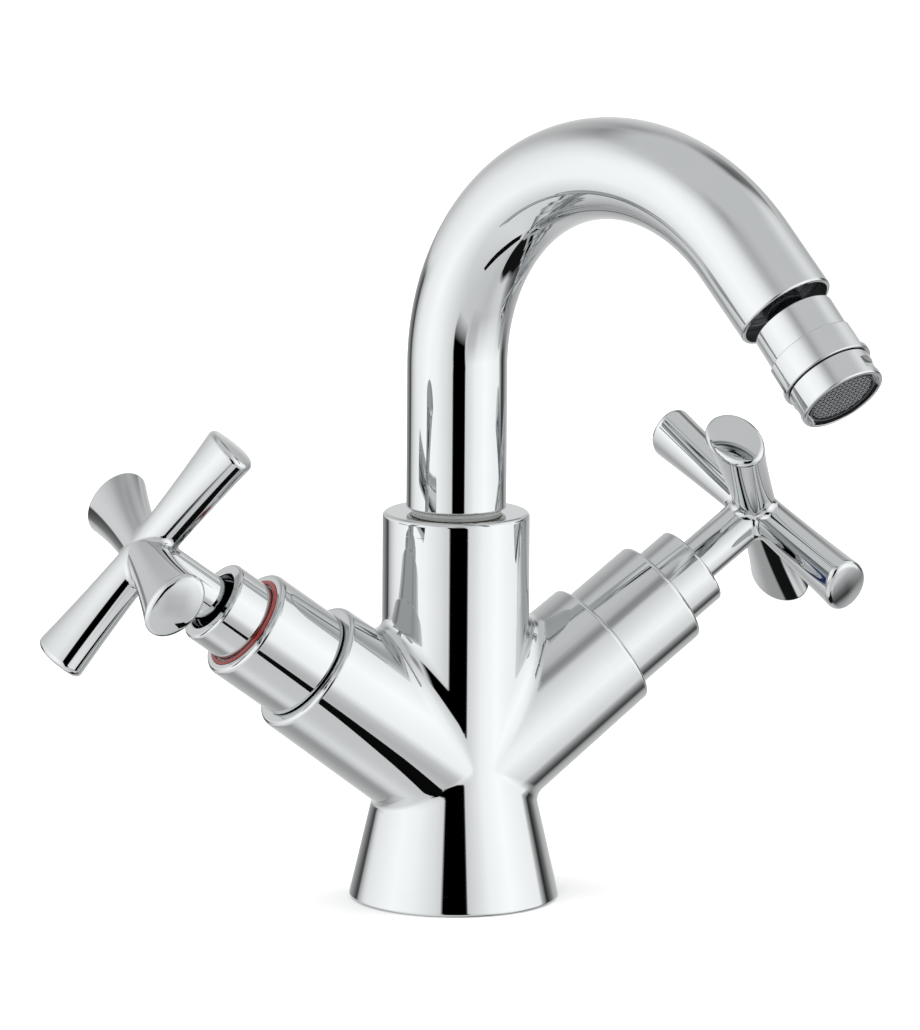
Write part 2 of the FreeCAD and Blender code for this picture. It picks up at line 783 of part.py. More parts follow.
def bonnet(side):
    """Shroud over the hexagon, with a seat for the index ring in its roof."""
    body = new_piece(f"{side}_bonnet", VALVE_PLACE[side])
    roof = BONNET_TOP - S.bonnet_roof
    hole = S.neck_radius + S.running_clearance
    inner = S.bonnet_radius - S.bonnet_wall
    seat = BONNET_TOP - S.index_depth
    spin(body, "shell", [
        (inner, BONNET_BOTTOM),
        (S.bonnet_radius, BONNET_BOTTOM),
        *round_top(S.bonnet_radius, BONNET_TOP, S.bonnet_edge_round),
        (S.index_outer_radius + S.fit_clearance, BONNET_TOP),
        (S.index_outer_radius + S.fit_clearance, seat),
        (S.index_inner_radius - S.fit_clearance, seat),
        (S.index_inner_radius - S.fit_clearance, BONNET_TOP),
        (hole, BONNET_TOP),
        (hole, roof),
        (inner, roof),
    ])


def index_ring(side):
    """Coloured ring that marks hot or cold."""
    body = new_piece(f"{side}_index_ring", VALVE_PLACE[side])
    bottom = BONNET_TOP - S.index_depth + S.fit_clearance
    spin(body, "ring", rectangle(
        S.index_inner_radius, S.index_outer_radius, bottom, BONNET_TOP + S.index_stand))


def sleeve(side):
    """Collar screwed on the headwork's neck; the handle's stem turns freely in its bore."""
    body = new_piece(f"{side}_sleeve", VALVE_PLACE[side])
    thread = S.neck_radius + S.fit_clearance
    spin(body, "collar", [
        (thread, SLEEVE_BOTTOM),
        (S.sleeve_radius, SLEEVE_BOTTOM),
        *round_top(S.sleeve_radius, SLEEVE_TOP, S.sleeve_edge_round),
        (S.sleeve_bore_radius, SLEEVE_TOP),
        (S.sleeve_bore_radius, SLEEVE_STEP),
        (thread, SLEEVE_STEP),
    ])


def oval(body, name, half_width, half_height, distance):
    """An ellipse square to a cross arm, at a distance from the hub along that arm."""
    sketch = body.newObject("Sketcher::SketchObject", name)
    sketch.AttachmentSupport = [(plane(body, "YZ_Plane"), "")]
    sketch.MapMode = "FlatFace"
    sketch.setExpression("AttachmentOffset", place(y=HUB_DISTANCE, z=distance))
    ellipse = sketch.addGeometry(
        Part.Ellipse(FreeCAD.Vector(), half_width.number, half_height.number), False)
    sketch.exposeInternalGeometry(ellipse)
    wide, high = ellipse + 1, ellipse + 2
    wide_end = 1 if sketch.getPoint(wide, 1).x > 0 else 2
    high_end = 1 if sketch.getPoint(high, 1).y > 0 else 2
    sketch.addConstraint(Sketcher.Constraint("Coincident", ellipse, 3, -1, 1))
    pin_point(sketch, wide, wide_end, half_width, ZERO)
    index = sketch.addConstraint(Sketcher.Constraint("DistanceY", -1, 1, high, high_end, half_height.number))
    sketch.setExpression(f"Constraints[{index}]", half_height.formula)
    return sketch


def cross_handle(side):
    """Cross of four flared oval arms on a stem, all one casting, with a socket for the spindle."""
    body = new_piece(f"{side}_cross_handle", HANDLE_PLACE[side])
    arm_end = S.cross_reach + S.overrun
    ovals = [
        oval(body, "waist", S.cross_waist_half_width, S.cross_waist_half_height, ZERO),
        oval(body, "middle", S.cross_middle_half_width, S.cross_middle_half_height, arm_end / 2),
        oval(body, "end", S.cross_end_half_width, S.cross_end_half_height, arm_end),
    ]
    arm = body.newObject("PartDesign::AdditiveLoft", "arm")
    arm.Profile = ovals[0]
    arm.Sections = ovals[1:]
    repeat(body, "cross", arm, CROSS_ARMS)
    rise = S.cross_reach * sine(S.cross_dome_angle)
    run = S.cross_reach * cosine(S.cross_dome_angle)
    spin(body, "tip_domes", [
        (run, HUB_DISTANCE - rise, (S.cross_reach, HUB_DISTANCE)),
        (arm_end + S.overrun, HUB_DISTANCE - rise),
        (arm_end + S.overrun, HUB_DISTANCE + rise),
        (run, HUB_DISTANCE + rise),
    ], offset=place(turns=[turn((0, 1, 0), Size(FULL_TURN) / (CROSS_ARMS * 2))]), cut=True)
    spin(body, "stem", rectangle(ZERO, S.stem_radius, STEM_START, HUB_DISTANCE))

    def root(shape, edge):
        """Edges where the arms meet each other or the stem."""
        if len(surfaces(shape, edge)) != 2:
            return False
        hub = FreeCAD.Vector(0, 0, HUB_DISTANCE.number)
        return edge.CenterOfMass.distanceToPoint(hub) < S.cross_reach.number / 2

    def tip(shape, edge):
        """The rims of the arms' domed ends."""
        kinds = [isinstance(surface, Part.Sphere) for surface in surfaces(shape, edge)]
        return sorted(kinds) == [False, True]

    round_edges(body, "tips", S.cross_tip_round, tip)
    round_edges(body, "roots", S.cross_blend, root)
    spin(body, "socket", rectangle(
        ZERO,
        S.spline_radius + S.fit_clearance,
        STEM_START - S.overrun,
        SPINDLE_TOP + S.running_clearance,
    ), cut=True)
    drill(body, "screw_hole", S.handle_screw_radius + S.fit_clearance, S.stem_radius + S.overrun, place(
        z=HANDLE_SCREW, turns=[handle_screw_turn(side)]))


def handle_screw_turn(side):
    """Turns a hole's axis square to the stem, towards the back of the tap."""
    return f"{turn((0, 0, 1), -SIDES[side][1])} * {turn((1, 0, 0), -RIGHT_ANGLE)}"


def handle_screw(side):
    """Grub screw in the stem's back, tight on the spindle's splined end."""
    frame = place(z=HANDLE_SCREW, turns=[handle_screw_turn(side)])
    body = new_piece(f"{side}_handle_screw", f"{HANDLE_PLACE[side]} * {frame}")
    head = S.stem_radius - S.handle_screw_recess
    socket = head - S.handle_screw_socket_depth
    spin(body, "screw", [
        (ZERO, S.spline_radius + S.fit_clearance),
        (S.handle_screw_radius, S.spline_radius + S.fit_clearance),
        (S.handle_screw_radius, head),
        (S.handle_screw_socket_radius, head),
        (S.handle_screw_socket_radius, socket),
        (ZERO, socket),
    ])


def spout_tube():
    """Bent tube: a straight rise, one arch and a short straight run to the mouth."""
    body = new_piece("spout_tube", SPOUT_PLACE)
    half_turn = S.arch_turn / 2
    path = outline(body, "centre_line", [
        (ZERO, TUBE_BOTTOM),
        (ZERO, ARCH_START),
        (ARCH_END_X, ARCH_END_Z, (
            S.arch_radius - S.arch_radius * cosine(half_turn),
            ARCH_START + S.arch_radius * sine(half_turn),
        )),
        (MOUTH_X, MOUTH_Z),
    ], closed=False)
    section = body.newObject("Sketcher::SketchObject", "section")
    section.AttachmentSupport = [(plane(body, "XY_Plane"), "")]
    section.MapMode = "FlatFace"
    section.setExpression("AttachmentOffset", place(z=TUBE_BOTTOM))
    for radius in (S.tube_radius, TUBE_BORE):
        ring = Part.Circle(FreeCAD.Vector(), FreeCAD.Vector(0, 0, 1), radius.number)
        circle = section.addGeometry(ring, False)
        section.addConstraint(Sketcher.Constraint("Coincident", circle, 3, -1, 1))
        index = section.addConstraint(Sketcher.Constraint("Radius", circle, radius.number))
        section.setExpression(f"Constraints[{index}]", radius.formula)
    pipe = body.newObject("PartDesign::AdditivePipe", "tube")
    pipe.Profile = section
    pipe.Spine = (path, ["Edge1", "Edge2", "Edge3"])

    def end_rim(shape, edge):
        """The outer rims of the tube's two ends."""
        kinds = [isinstance(surface, Part.Plane) for surface in surfaces(shape, edge)]
        return sorted(kinds) == [False, True] and alike(edge.Curve.Radius, S.tube_radius.number)

    round_edges(body, "end_rims", S.tube_edge_round, end_rim)


def oring_height(index):
    return S.column_height - S.oring_first - S.oring_step * index


def spout_spigot():
    """Turned spigot brazed into the tube's foot, with two seal grooves and the retaining groove."""
    body = new_piece("spout_spigot", SPOUT_PLACE)
    bottom = S.column_height - S.spigot_bore_depth + S.spigot_end_gap
    bore = S.spigot_radius - S.spigot_wall
    plug = TUBE_BORE - S.fit_clearance
    plug_top = TUBE_BOTTOM + S.spigot_plug_length
    groove = S.spigot_bore_radius - S.oring_section
    half = S.oring_section / 2 + S.running_clearance
    corners = [(bore, bottom), (S.spigot_radius, bottom)]
    for index in (1, 0):
        low, high = oring_height(index) - half, oring_height(index) + half
        corners += [(S.spigot_radius, low), (groove, low), (groove, high), (S.spigot_radius, high)]
    middle = S.column_height - S.retainer_depth
    low, high = middle - S.spigot_groove_width / 2, middle + S.spigot_groove_width / 2
    floor = S.spigot_radius - S.spigot_groove_depth
    corners += [(S.spigot_radius, low), (floor, low), (floor, high), (S.spigot_radius, high)]
    corners += [(S.spigot_radius, TUBE_BOTTOM), (plug, TUBE_BOTTOM), (plug, plug_top), (bore, plug_top)]
    spin(body, "turning", corners)


def spout_oring(label, index):
    """Rubber ring between the spigot and the column's bore."""
    body = new_piece(label, SPOUT_PLACE)
    half = S.oring_section / 2 - S.fit_clearance
    centre = S.spigot_bore_radius - S.oring_section / 2
    round_ring(body, centre, oring_height(index), half)


def outlet_socket():
    """Threaded ring brazed into the tube's mouth."""
    body = new_piece("outlet_socket", OUTLET_PLACE)
    spin(body, "ring", rectangle(
        S.socket_thread_radius, TUBE_BORE - S.fit_clearance, -S.socket_start, -S.socket_recess))


def on_ball(radius, angle):
    """A point on a sphere about the ball's centre, at an angle from the way the water leaves."""
    return (radius * sine(angle), S.ball_centre + radius * cosine(angle))


def ball_adapter():
    """Screwed plug with a neck and the hollow ball that the nozzle tilts on."""
    body = new_piece("ball_adapter", OUTLET_PLACE)
    thread = S.socket_thread_radius - S.fit_clearance
    neck_meets = S.ball_centre - leg(S.ball_radius, S.adapter_neck_radius)
    flat_radius = leg(S.ball_radius, S.ball_flat)
    spin(body, "turning", [
        (S.adapter_bore_radius, -S.adapter_start),
        (thread, -S.adapter_start),
        (thread, -S.adapter_recess),
        (S.adapter_neck_radius, -S.adapter_recess),
        (S.adapter_neck_radius, neck_meets),
        (flat_radius, S.ball_centre + S.ball_flat, (S.ball_radius, S.ball_centre)),
        (S.adapter_bore_radius, S.ball_centre + S.ball_flat),
    ])


BALL_SEAL_INNER = S.ball_radius + S.running_clearance
BALL_SEAL_OUTER = BALL_SEAL_INNER + S.ball_seal_height
BALL_SEAT = BALL_SEAL_OUTER + S.running_clearance
CUP_END = S.cup_start + S.cup_length
COLLAR_END = CUP_END + S.collar_length
HOUSING_START = COLLAR_END + S.housing_gap
HOUSING_END = HOUSING_START + S.housing_length
INSERT_END = HOUSING_END - S.insert_recess
THREAD_ROOF = COLLAR_END - S.collar_thread_depth
HOUSING_TOP = HOUSING_START - S.housing_thread_length


def ball_seal():
    """Bearing ring, a zone of a sphere, between the ball and the nozzle's seat."""
    body = new_piece("ball_seal", OUTLET_PLACE)
    middle = halfway(S.ball_seal_from, S.ball_seal_to)
    spin(body, "zone", [
        on_ball(BALL_SEAL_INNER, S.ball_seal_from) + (on_ball(BALL_SEAL_INNER, middle),),
        on_ball(BALL_SEAL_OUTER, S.ball_seal_from),
        on_ball(BALL_SEAL_OUTER, S.ball_seal_to) + (on_ball(BALL_SEAL_OUTER, middle),),
        on_ball(BALL_SEAL_INNER, S.ball_seal_to),
    ])


def nozzle_cup():
    """Cup that holds the ball from above and screws on the collar."""
    body = new_piece("nozzle_cup", nozzle_place(S.collar_turn))
    hollow = S.ball_radius + S.ball_play
    lip = S.cup_start + S.cup_lip
    lip_radius = leg(hollow, S.ball_centre - lip)
    middle = halfway(lip, S.ball_centre)
    spin(body, "cup", [
        (lip_radius, lip, (leg(hollow, S.ball_centre - middle), middle)),
        (lip_radius + S.cup_lip / 2, S.cup_start),
        *round_bottom(S.cup_radius, S.cup_start, S.cup_edge_round),
        (S.cup_radius, CUP_END),
        (S.cup_thread_radius, CUP_END),
        (S.cup_thread_radius, S.ball_centre),
        (hollow, S.ball_centre),
    ])


def flats(body, across, reach, bottom, length):
    """Two opposite wrench flats."""
    wide = (reach + S.overrun) * 2
    flat_cut = slab(body, "flat", (S.overrun * 2, wide, length), place(across / 2, -wide / 2, bottom))
    repeat(body, "flats", flat_cut, 2)


def nozzle_body():
    """Collar with the ball's lower seat, wrench flats and the thread for the aerator."""
    body = new_piece("nozzle_body", nozzle_place(S.collar_turn))
    top = CUP_END - S.collar_spigot_length
    seat_radius = leg(BALL_SEAT, top - S.ball_centre)
    seat_end = S.ball_centre + leg(BALL_SEAT, S.collar_bore_radius)
    middle = halfway(top, seat_end)
    spin(body, "turning", [
        (S.collar_bore_radius, seat_end, (leg(BALL_SEAT, middle - S.ball_centre), middle)),
        (S.collar_bore_radius, THREAD_ROOF),
        (S.collar_thread_radius, THREAD_ROOF),
        (S.collar_thread_radius, COLLAR_END),
        *reversed_arcs(round_top(S.collar_radius, COLLAR_END, S.collar_edge_round)),
        *reversed_arcs(round_bottom(S.collar_radius, CUP_END, S.collar_edge_round)),
        (S.cup_thread_radius - S.fit_clearance, CUP_END),
        (S.cup_thread_radius - S.fit_clearance, top),
        (seat_radius, top),
    ])
    flats(body, S.collar_flats, S.collar_radius, CUP_END - S.overrun, S.overrun + S.collar_flats_length)


def aerator_housing():
    """Screwed housing of the aerator, with wrench flats and a rounded mouth."""
    body = new_piece("aerator_housing", nozzle_place(S.housing_turn))
    thread = S.collar_thread_radius - S.running_clearance
    mouth = HOUSING_END - S.housing_mouth_depth
    shoulder = mouth - S.housing_shoulder_length
    spin(body, "turning", [
        (S.housing_bore_radius, HOUSING_TOP),
        (thread, HOUSING_TOP),
        (thread, HOUSING_START),
        (S.housing_radius, HOUSING_START),
        *round_top(S.housing_radius, HOUSING_END, S.housing_edge_round),
        (S.housing_mouth_radius, HOUSING_END),
        (S.housing_mouth_radius, mouth),
        (S.housing_shoulder_radius, mouth),
        (S.housing_shoulder_radius, shoulder),
        (S.housing_bore_radius, shoulder),
    ])
    flats_bottom = HOUSING_START + S.housing_flats_start
    flats(body, S.housing_flats, S.housing_radius, flats_bottom, S.housing_flats_length)


def aerator_washer():
    """Rubber washer between the housing's thread and the collar."""
    body = new_piece("aerator_washer", nozzle_place(S.housing_turn))
    spin(body, "ring", rectangle(
        S.aerator_washer_inner_radius,
        S.collar_thread_radius - S.running_clearance * 2,
        THREAD_ROOF,
        HOUSING_TOP,
    ))


def aerator_insert():
    """Plastic insert: a roof with a ring of jets over an open skirt."""
    body = new_piece("aerator_insert", nozzle_place(S.housing_turn))
    mouth = HOUSING_END - S.housing_mouth_depth
    shoulder = mouth - S.housing_shoulder_length
    skirt = S.housing_shoulder_radius - S.running_clearance
    hollow = skirt - S.insert_rim
    roof = HOUSING_TOP + S.insert_roof
    spin(body, "turning", [
        (ZERO, HOUSING_TOP),
        (S.housing_bore_radius - S.running_clearance, HOUSING_TOP),
        (S.housing_bore_radius - S.running_clearance, shoulder),
        (skirt, shoulder),
        (skirt, INSERT_END),
        (hollow, INSERT_END),
        (hollow, roof),
        (ZERO, roof),
    ])
    jet = drill(body, "jet", S.insert_jet_radius, S.insert_roof + S.overrun * 2, place(
        S.insert_jet_ring_radius, ZERO, HOUSING_TOP - S.overrun))
    repeat(body, "jets", jet, INSERT_JETS)


def aerator_mesh():
    """Disc of woven wire, held inside the insert's skirt."""
    body = new_piece("aerator_mesh", nozzle_place(S.housing_turn))
    face = INSERT_END - S.mesh_recess
    radius = S.housing_shoulder_radius - S.running_clearance - S.insert_rim - S.fit_clearance
    spin(body, "disc", rectangle(ZERO, radius, face - S.mesh_height, face))


mixer_body()
base_gasket()
spout_bush()
spout_retaining_screw()
for side in SIDES:
    seat_seal(side)
    fixed_disc(side)
    moving_disc(side)
    headwork_body(side)
    headwork_washer(side)
    spindle(side)
    spindle_oring(side)
    bonnet(side)
    index_ring(side)
    sleeve(side)
    cross_handle(side)
    handle_screw(side)
spout_tube()
spout_spigot()
spout_oring("spout_upper_oring", 0)
spout_oring("spout_lower_oring", 1)
outlet_socket()
ball_adapter()
ball_seal()
nozzle_cup()
nozzle_body()
aerator_housing()
aerator_washer()
aerator_insert()
aerator_mesh()
doc.recompute()

for item in doc.Objects:
    if "Invalid" in item.State or "Error" in item.State:
        raise RuntimeError(f"{item.Label} did not compute: {item.State}")
for piece in PIECES:
    if piece.Shape.isNull() or not piece.Shape.isValid() or not piece.Shape.Solids:
        raise RuntimeError(f"{piece.Label} has no valid solid")

os.makedirs("parts", exist_ok=True)
for piece in PIECES:
    piece.Shape.exportStep(f"parts/{piece.Label}.step")
    print(piece.Label, len(piece.Shape.Solids), round(piece.Shape.Volume, 1))
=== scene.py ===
# %% [markdown]
# # A bidet mixer tap in polished chrome
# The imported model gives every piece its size, its place and the body that it moves with.
# Chrome is a mirror, so what the eye judges is how reflections run over the surface.
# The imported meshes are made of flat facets, which would break a reflection into steps.
# Each visible piece is therefore worked out again from its own formula, with exact normals,
# and stands for the node of the same name.

# %% Load the frame
import json
import math

import bpy
import numpy as np
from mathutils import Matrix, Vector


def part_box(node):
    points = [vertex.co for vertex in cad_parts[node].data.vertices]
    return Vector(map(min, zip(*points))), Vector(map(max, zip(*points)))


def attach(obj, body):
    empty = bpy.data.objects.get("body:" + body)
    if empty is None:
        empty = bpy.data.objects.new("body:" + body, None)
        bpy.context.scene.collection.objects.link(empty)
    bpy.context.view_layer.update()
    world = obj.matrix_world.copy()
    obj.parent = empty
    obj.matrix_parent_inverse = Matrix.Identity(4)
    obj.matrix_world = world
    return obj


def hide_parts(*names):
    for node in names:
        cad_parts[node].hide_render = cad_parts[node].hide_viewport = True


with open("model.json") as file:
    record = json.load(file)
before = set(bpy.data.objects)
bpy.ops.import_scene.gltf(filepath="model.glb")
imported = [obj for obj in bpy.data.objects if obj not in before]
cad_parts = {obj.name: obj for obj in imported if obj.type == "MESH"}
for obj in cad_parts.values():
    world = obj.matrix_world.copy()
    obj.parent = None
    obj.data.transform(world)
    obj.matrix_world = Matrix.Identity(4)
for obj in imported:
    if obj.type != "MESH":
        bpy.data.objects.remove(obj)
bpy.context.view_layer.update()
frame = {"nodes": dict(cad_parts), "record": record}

# %% [markdown]
# ## Sizes
# The sizes are the tap's own, in millimetres and degrees. Blender works in metres, so points are
# turned into metres only when a mesh is made.

# %% Sizes that several pieces share
MM = 0.001
ARM_CROSSING = 31.5
ARM_LEAN = 36.2
HUB_DISTANCE = 101.5
COLUMN_HEIGHT = 96.4
TUBE_BOTTOM = 97.4
TUBE_RADIUS = 12.3
TUBE_WALL = 1.0
TUBE_RISE = 35.4
ARCH_RADIUS = 53.7
ARCH_TURN = 135.0
TUBE_RUN = 18.6
SPOUT_TURN = 24.2
BALL_CENTRE = 7.2
NOZZLE_SIDE_TILT = 3.0
HANDLE_TURN = {"hot": 75.2, "cold": 35.7}
VALVE_TILT = {"hot": ARM_LEAN - 90.0, "cold": 90.0 - ARM_LEAN}
print("spout height", TUBE_BOTTOM + TUBE_RISE + ARCH_RADIUS + TUBE_RADIUS, "mm")

# %% [markdown]
# ## Frames
# A valve is drawn along its own axis, and the nozzle along the way the water leaves. A frame is a
# turn and a shift that carry such a piece to its place in the tap.

# %% Turns, and the frames of valves, spout and nozzle
X_AXIS, Y_AXIS, Z_AXIS = np.eye(3)


def turn(axis, degrees):
    """The matrix that turns a point about an axis by the right-hand rule."""
    a = math.radians(degrees)
    x, y, z = axis
    cross = np.array([[0, -z, y], [z, 0, -x], [-y, x, 0]])
    return np.eye(3) + math.sin(a) * cross + (1 - math.cos(a)) * (cross @ cross)


def shifted(frame_of_piece, along):
    """The same frame with its origin moved along its own Z."""
    spin, origin = frame_of_piece
    return spin, origin + spin @ (along * Z_AXIS)


def to_tap(frame_of_piece, points):
    """Points of a piece's own frame, in the tap's frame."""
    spin, origin = frame_of_piece
    return points @ spin.T + origin


TAP_FRAME = (np.eye(3), np.zeros(3))
CROSSING = ARM_CROSSING * Z_AXIS
VALVE_FRAME = {side: (turn(Y_AXIS, tilt), CROSSING) for side, tilt in VALVE_TILT.items()}
HANDLE_FRAME = {
    side: shifted((turn(Y_AXIS, tilt) @ turn(Z_AXIS, HANDLE_TURN[side]), CROSSING), HUB_DISTANCE)
    for side, tilt in VALVE_TILT.items()
}
SPOUT_SPIN = turn(Z_AXIS, SPOUT_TURN - 90.0)
SPOUT_FRAME = (SPOUT_SPIN, np.zeros(3))
ARCH_START = TUBE_BOTTOM + TUBE_RISE
ARCH_ANGLE = math.radians(ARCH_TURN)
MOUTH = np.array([
    ARCH_RADIUS * (1 - math.cos(ARCH_ANGLE)) + TUBE_RUN * math.sin(ARCH_ANGLE),
    0.0,
    ARCH_START + ARCH_RADIUS * math.sin(ARCH_ANGLE) + TUBE_RUN * math.cos(ARCH_ANGLE),
])
OUTLET_FRAME = (SPOUT_SPIN @ turn(Y_AXIS, ARCH_TURN), SPOUT_SPIN @ MOUTH)


def nozzle_frame(own_turn):
    """The outlet's frame, leaning sideways about the ball and turned about the nozzle's own axis."""
    spin, origin = shifted(OUTLET_FRAME, BALL_CENTRE)
    return shifted((spin @ turn(X_AXIS, NOZZLE_SIDE_TILT) @ turn(Z_AXIS, own_turn), origin), -BALL_CENTRE)


print("mouth", np.round(OUTLET_FRAME[1], 2), "mm")

# %% [markdown]
# ## Finishes
# Every finish is a small tree of nodes. A colour is written as a screen colour in hex, and one
# function turns it into the linear light that a shader needs. One more adds a node.

# %% Helpers for colours and nodes


def linear(code):
    """A screen colour such as c4c6c8 as linear light, by the sRGB curve, with full alpha."""
    screen = np.array([int(code[i:i + 2], 16) for i in (0, 2, 4)]) / 255
    light = np.where(screen <= 0.04045, screen / 12.92, ((screen + 0.055) / 1.055) ** 2.4)
    return (*light.tolist(), 1.0)


def add_node(tree, kind, sockets, **settings):
    """Adds a node: settings are its properties, and each socket takes a value or another node's output."""
    made = tree.nodes.new(kind)
    for name, value in settings.items():
        setattr(made, name, value)
    for name, value in sockets.items():
        if isinstance(value, bpy.types.NodeSocket):
            tree.links.new(value, made.inputs[name])
        else:
            made.inputs[name].default_value = value
    return made


def new_finish(name):
    """An empty material with its Principled shader and the piece's own coordinates, in metres."""
    finish = bpy.data.materials.new(name)
    finish.use_nodes = True
    tree = finish.node_tree
    place = add_node(tree, "ShaderNodeTexCoord", {}).outputs["Object"]
    return finish, tree, tree.nodes["Principled BSDF"], place


def per_length(millimetres):
    """A texture's scale for features of this size."""
    return 1 / (millimetres * MM)


# %% [markdown]
# ## Chrome plate
# Bright nickel and chromium over polished brass. Chromium sends back a little over half of the
# light, evenly over the colours with a trace of blue, so white panels look white in it only where they
# are brighter than white. The polishing leaves a faint slow wave and patches that are a shade duller.

# %% Chrome plate on polished brass
POLISH_PATCH = 14.0
POLISH_GLOSS = (0.02, 0.045)
POLISH_WAVE = 22.0
POLISH_WAVE_HEIGHT = 0.004
USUAL_NOISE = (0.3, 0.7)

chrome, tree, shader, place = new_finish("chrome_plate")
patches = add_node(tree, "ShaderNodeTexNoise", {"Vector": place, "Scale": per_length(POLISH_PATCH), "Detail": 3.0})
gloss = add_node(tree, "ShaderNodeMapRange", {
    "Value": patches.outputs[0], "From Min": USUAL_NOISE[0], "From Max": USUAL_NOISE[1],
    "To Min": POLISH_GLOSS[0], "To Max": POLISH_GLOSS[1]})
tint = add_node(tree, "ShaderNodeValToRGB", {"Fac": patches.outputs[0]})
tint.color_ramp.elements[0].color = linear("c6c9ca")
tint.color_ramp.elements[1].color = linear("cbcdce")
wave = add_node(tree, "ShaderNodeTexNoise", {"Vector": place, "Scale": per_length(POLISH_WAVE), "Detail": 0.0})
relief = add_node(tree, "ShaderNodeBump", {
    "Height": wave.outputs[0], "Strength": 1.0, "Distance": POLISH_WAVE_HEIGHT * MM})
shader.inputs["Metallic"].default_value = 1.0
tree.links.new(tint.outputs["Color"], shader.inputs["Base Color"])
tree.links.new(gloss.outputs["Result"], shader.inputs["Roughness"])
tree.links.new(relief.outputs["Normal"], shader.inputs["Normal"])
print("chrome plate ready")

# %% [markdown]
# ## The other finishes
# Bare turned brass, satin steel, rubber, moulded acetal, lapped ceramic and the two enamelled index
# rings. They differ in colour, gloss and grain, so one table lists them and one loop builds them. The
# grain sizes are real: lathe marks on brass are finer than the bloom on rubber.

# %% Finishes of the small pieces
PLAIN_FINISHES = {
    # slot: (finish, two shades, metallic, roughness range, grain in mm, relief in mm)
    # lathe marks spread the light of the yellow metal
    "bare_brass": ("turned_brass", "c9a45c", "b48a45", 1.0, (0.22, 0.36), 0.5, 0.004),
    # thin zinc gives a grey sheen
    "screw_steel": ("zinc_plated_steel", "a6a9ac", "8c8f93", 1.0, (0.25, 0.4), 0.4, 0.004),
    # drawn smooth, so that each wire has a bright line of its own
    "mesh_steel": ("drawn_steel_wire", "b8bbbd", "9da0a3", 1.0, (0.08, 0.16), 0.3, 0.0005),
    # nearly black, with a bloom and no clear highlight
    "seal_rubber": ("nitrile_rubber", "1b1b1c", "0f0f10", 0.0, (0.55, 0.75), 0.8, 0.01),
    # milky and softly shiny, as it leaves the mould
    "slide_plastic": ("white_acetal", "d9dbda", "c8cbca", 0.0, (0.32, 0.45), 0.9, 0.004),
    # the same in dark grey, so that the wire in front of it stands out
    "aerator_plastic": ("dark_acetal", "3a3c3d", "2b2d2e", 0.0, (0.35, 0.5), 0.9, 0.004),
    # lapped flat, so it is pale with a close shine
    "disc_ceramic": ("lapped_alumina", "f1eee6", "e5e1d6", 0.0, (0.12, 0.2), 0.6, 0.001),
    # a deep colour under a low gloss
    "hot_red": ("red_enamel", "93322d", "7c2623", 0.0, (0.2, 0.32), 1.2, 0.002),
    "cold_blue": ("blue_enamel", "2a4a93", "203a7c", 0.0, (0.2, 0.32), 1.2, 0.002),
}
FINISH = {"plated_brass": chrome}
for slot, (name, light, dark, metallic, (low, high), size, depth) in PLAIN_FINISHES.items():
    FINISH[slot], tree, shader, place = new_finish(name)
    grain = add_node(tree, "ShaderNodeTexNoise", {"Vector": place, "Scale": per_length(size), "Detail": 4.0})
    shade = add_node(tree, "ShaderNodeValToRGB", {"Fac": grain.outputs[0]})
    shade.color_ramp.elements[0].color = linear(dark)
    shade.color_ramp.elements[1].color = linear(light)
    gloss = add_node(tree, "ShaderNodeMapRange", {"Value": grain.outputs[0], "To Min": low, "To Max": high})
    relief = add_node(tree, "ShaderNodeBump", {
        "Height": grain.outputs[0], "Strength": 1.0, "Distance": depth * MM})
    shader.inputs["Metallic"].default_value = metallic
    tree.links.new(shade.outputs["Color"], shader.inputs["Base Color"])
    tree.links.new(gloss.outputs["Result"], shader.inputs["Roughness"])
    tree.links.new(relief.outputs["Normal"], shader.inputs["Normal"])

SLOT = {part["node"]: part["material_slot"] for part in frame["record"]["subparts"]}
BODY = {node: body for body, nodes in frame["record"]["behaviour"]["bodies"].items() for node in nodes}
for node, cad_object in frame["nodes"].items():
    cad_object.data.materials.clear()
    cad_object.data.materials.append(FINISH[SLOT[node]])
print("finishes", sorted(FINISH))

# %% [markdown]
# ## From numbers to a mesh
# A surface arrives here as points, four-cornered faces and one normal for each point. The normals are
# kept as custom normals, so that a reflection follows the formula and not the facets.

# %% Make a piece that stands for a node
MM3_PER_CM3 = 1000


def volume_inside(points, faces):
    """A sixth of each triangle's triple product with the origin, added up, in cubic centimetres."""
    a, b, c, d = (points[faces[:, k]] for k in range(4))
    return ((a * np.cross(b, c)).sum() + (a * np.cross(c, d)).sum()) / (6 * MM3_PER_CM3)


def stand_for(node, points, faces, normals, part="skin"):
    """A mesh object at the origin, in metres, that rides on its node's body and takes its slot."""
    mesh = bpy.data.meshes.new(f"{node}_{part}")
    mesh.vertices.add(len(points))
    mesh.vertices.foreach_set("co", (points * MM).astype(np.float32).ravel())
    mesh.loops.add(faces.size)
    mesh.loops.foreach_set("vertex_index", faces.astype(np.int32).ravel())
    mesh.polygons.add(len(faces))
    mesh.polygons.foreach_set("loop_start", np.arange(0, faces.size, faces.shape[1], dtype=np.int32))
    mesh.update(calc_edges=True)
    mesh.validate()
    mesh.shade_smooth()
    mesh.normals_split_custom_set_from_vertices(normals)
    mesh.materials.append(FINISH[SLOT[node]])
    piece = bpy.data.objects.new(mesh.name, mesh)
    bpy.context.scene.collection.objects.link(piece)
    low, high = (np.array(corner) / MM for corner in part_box(node))
    past = max((low - points.min(0)).max(), (points.max(0) - high).max())
    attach(piece, BODY[node])
    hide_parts(node)
    print(f"{mesh.name}: {len(faces)} faces, {volume_inside(points, faces):.2f} cm3,",
          f"{past:.2f} mm past the solid's box")
    return piece


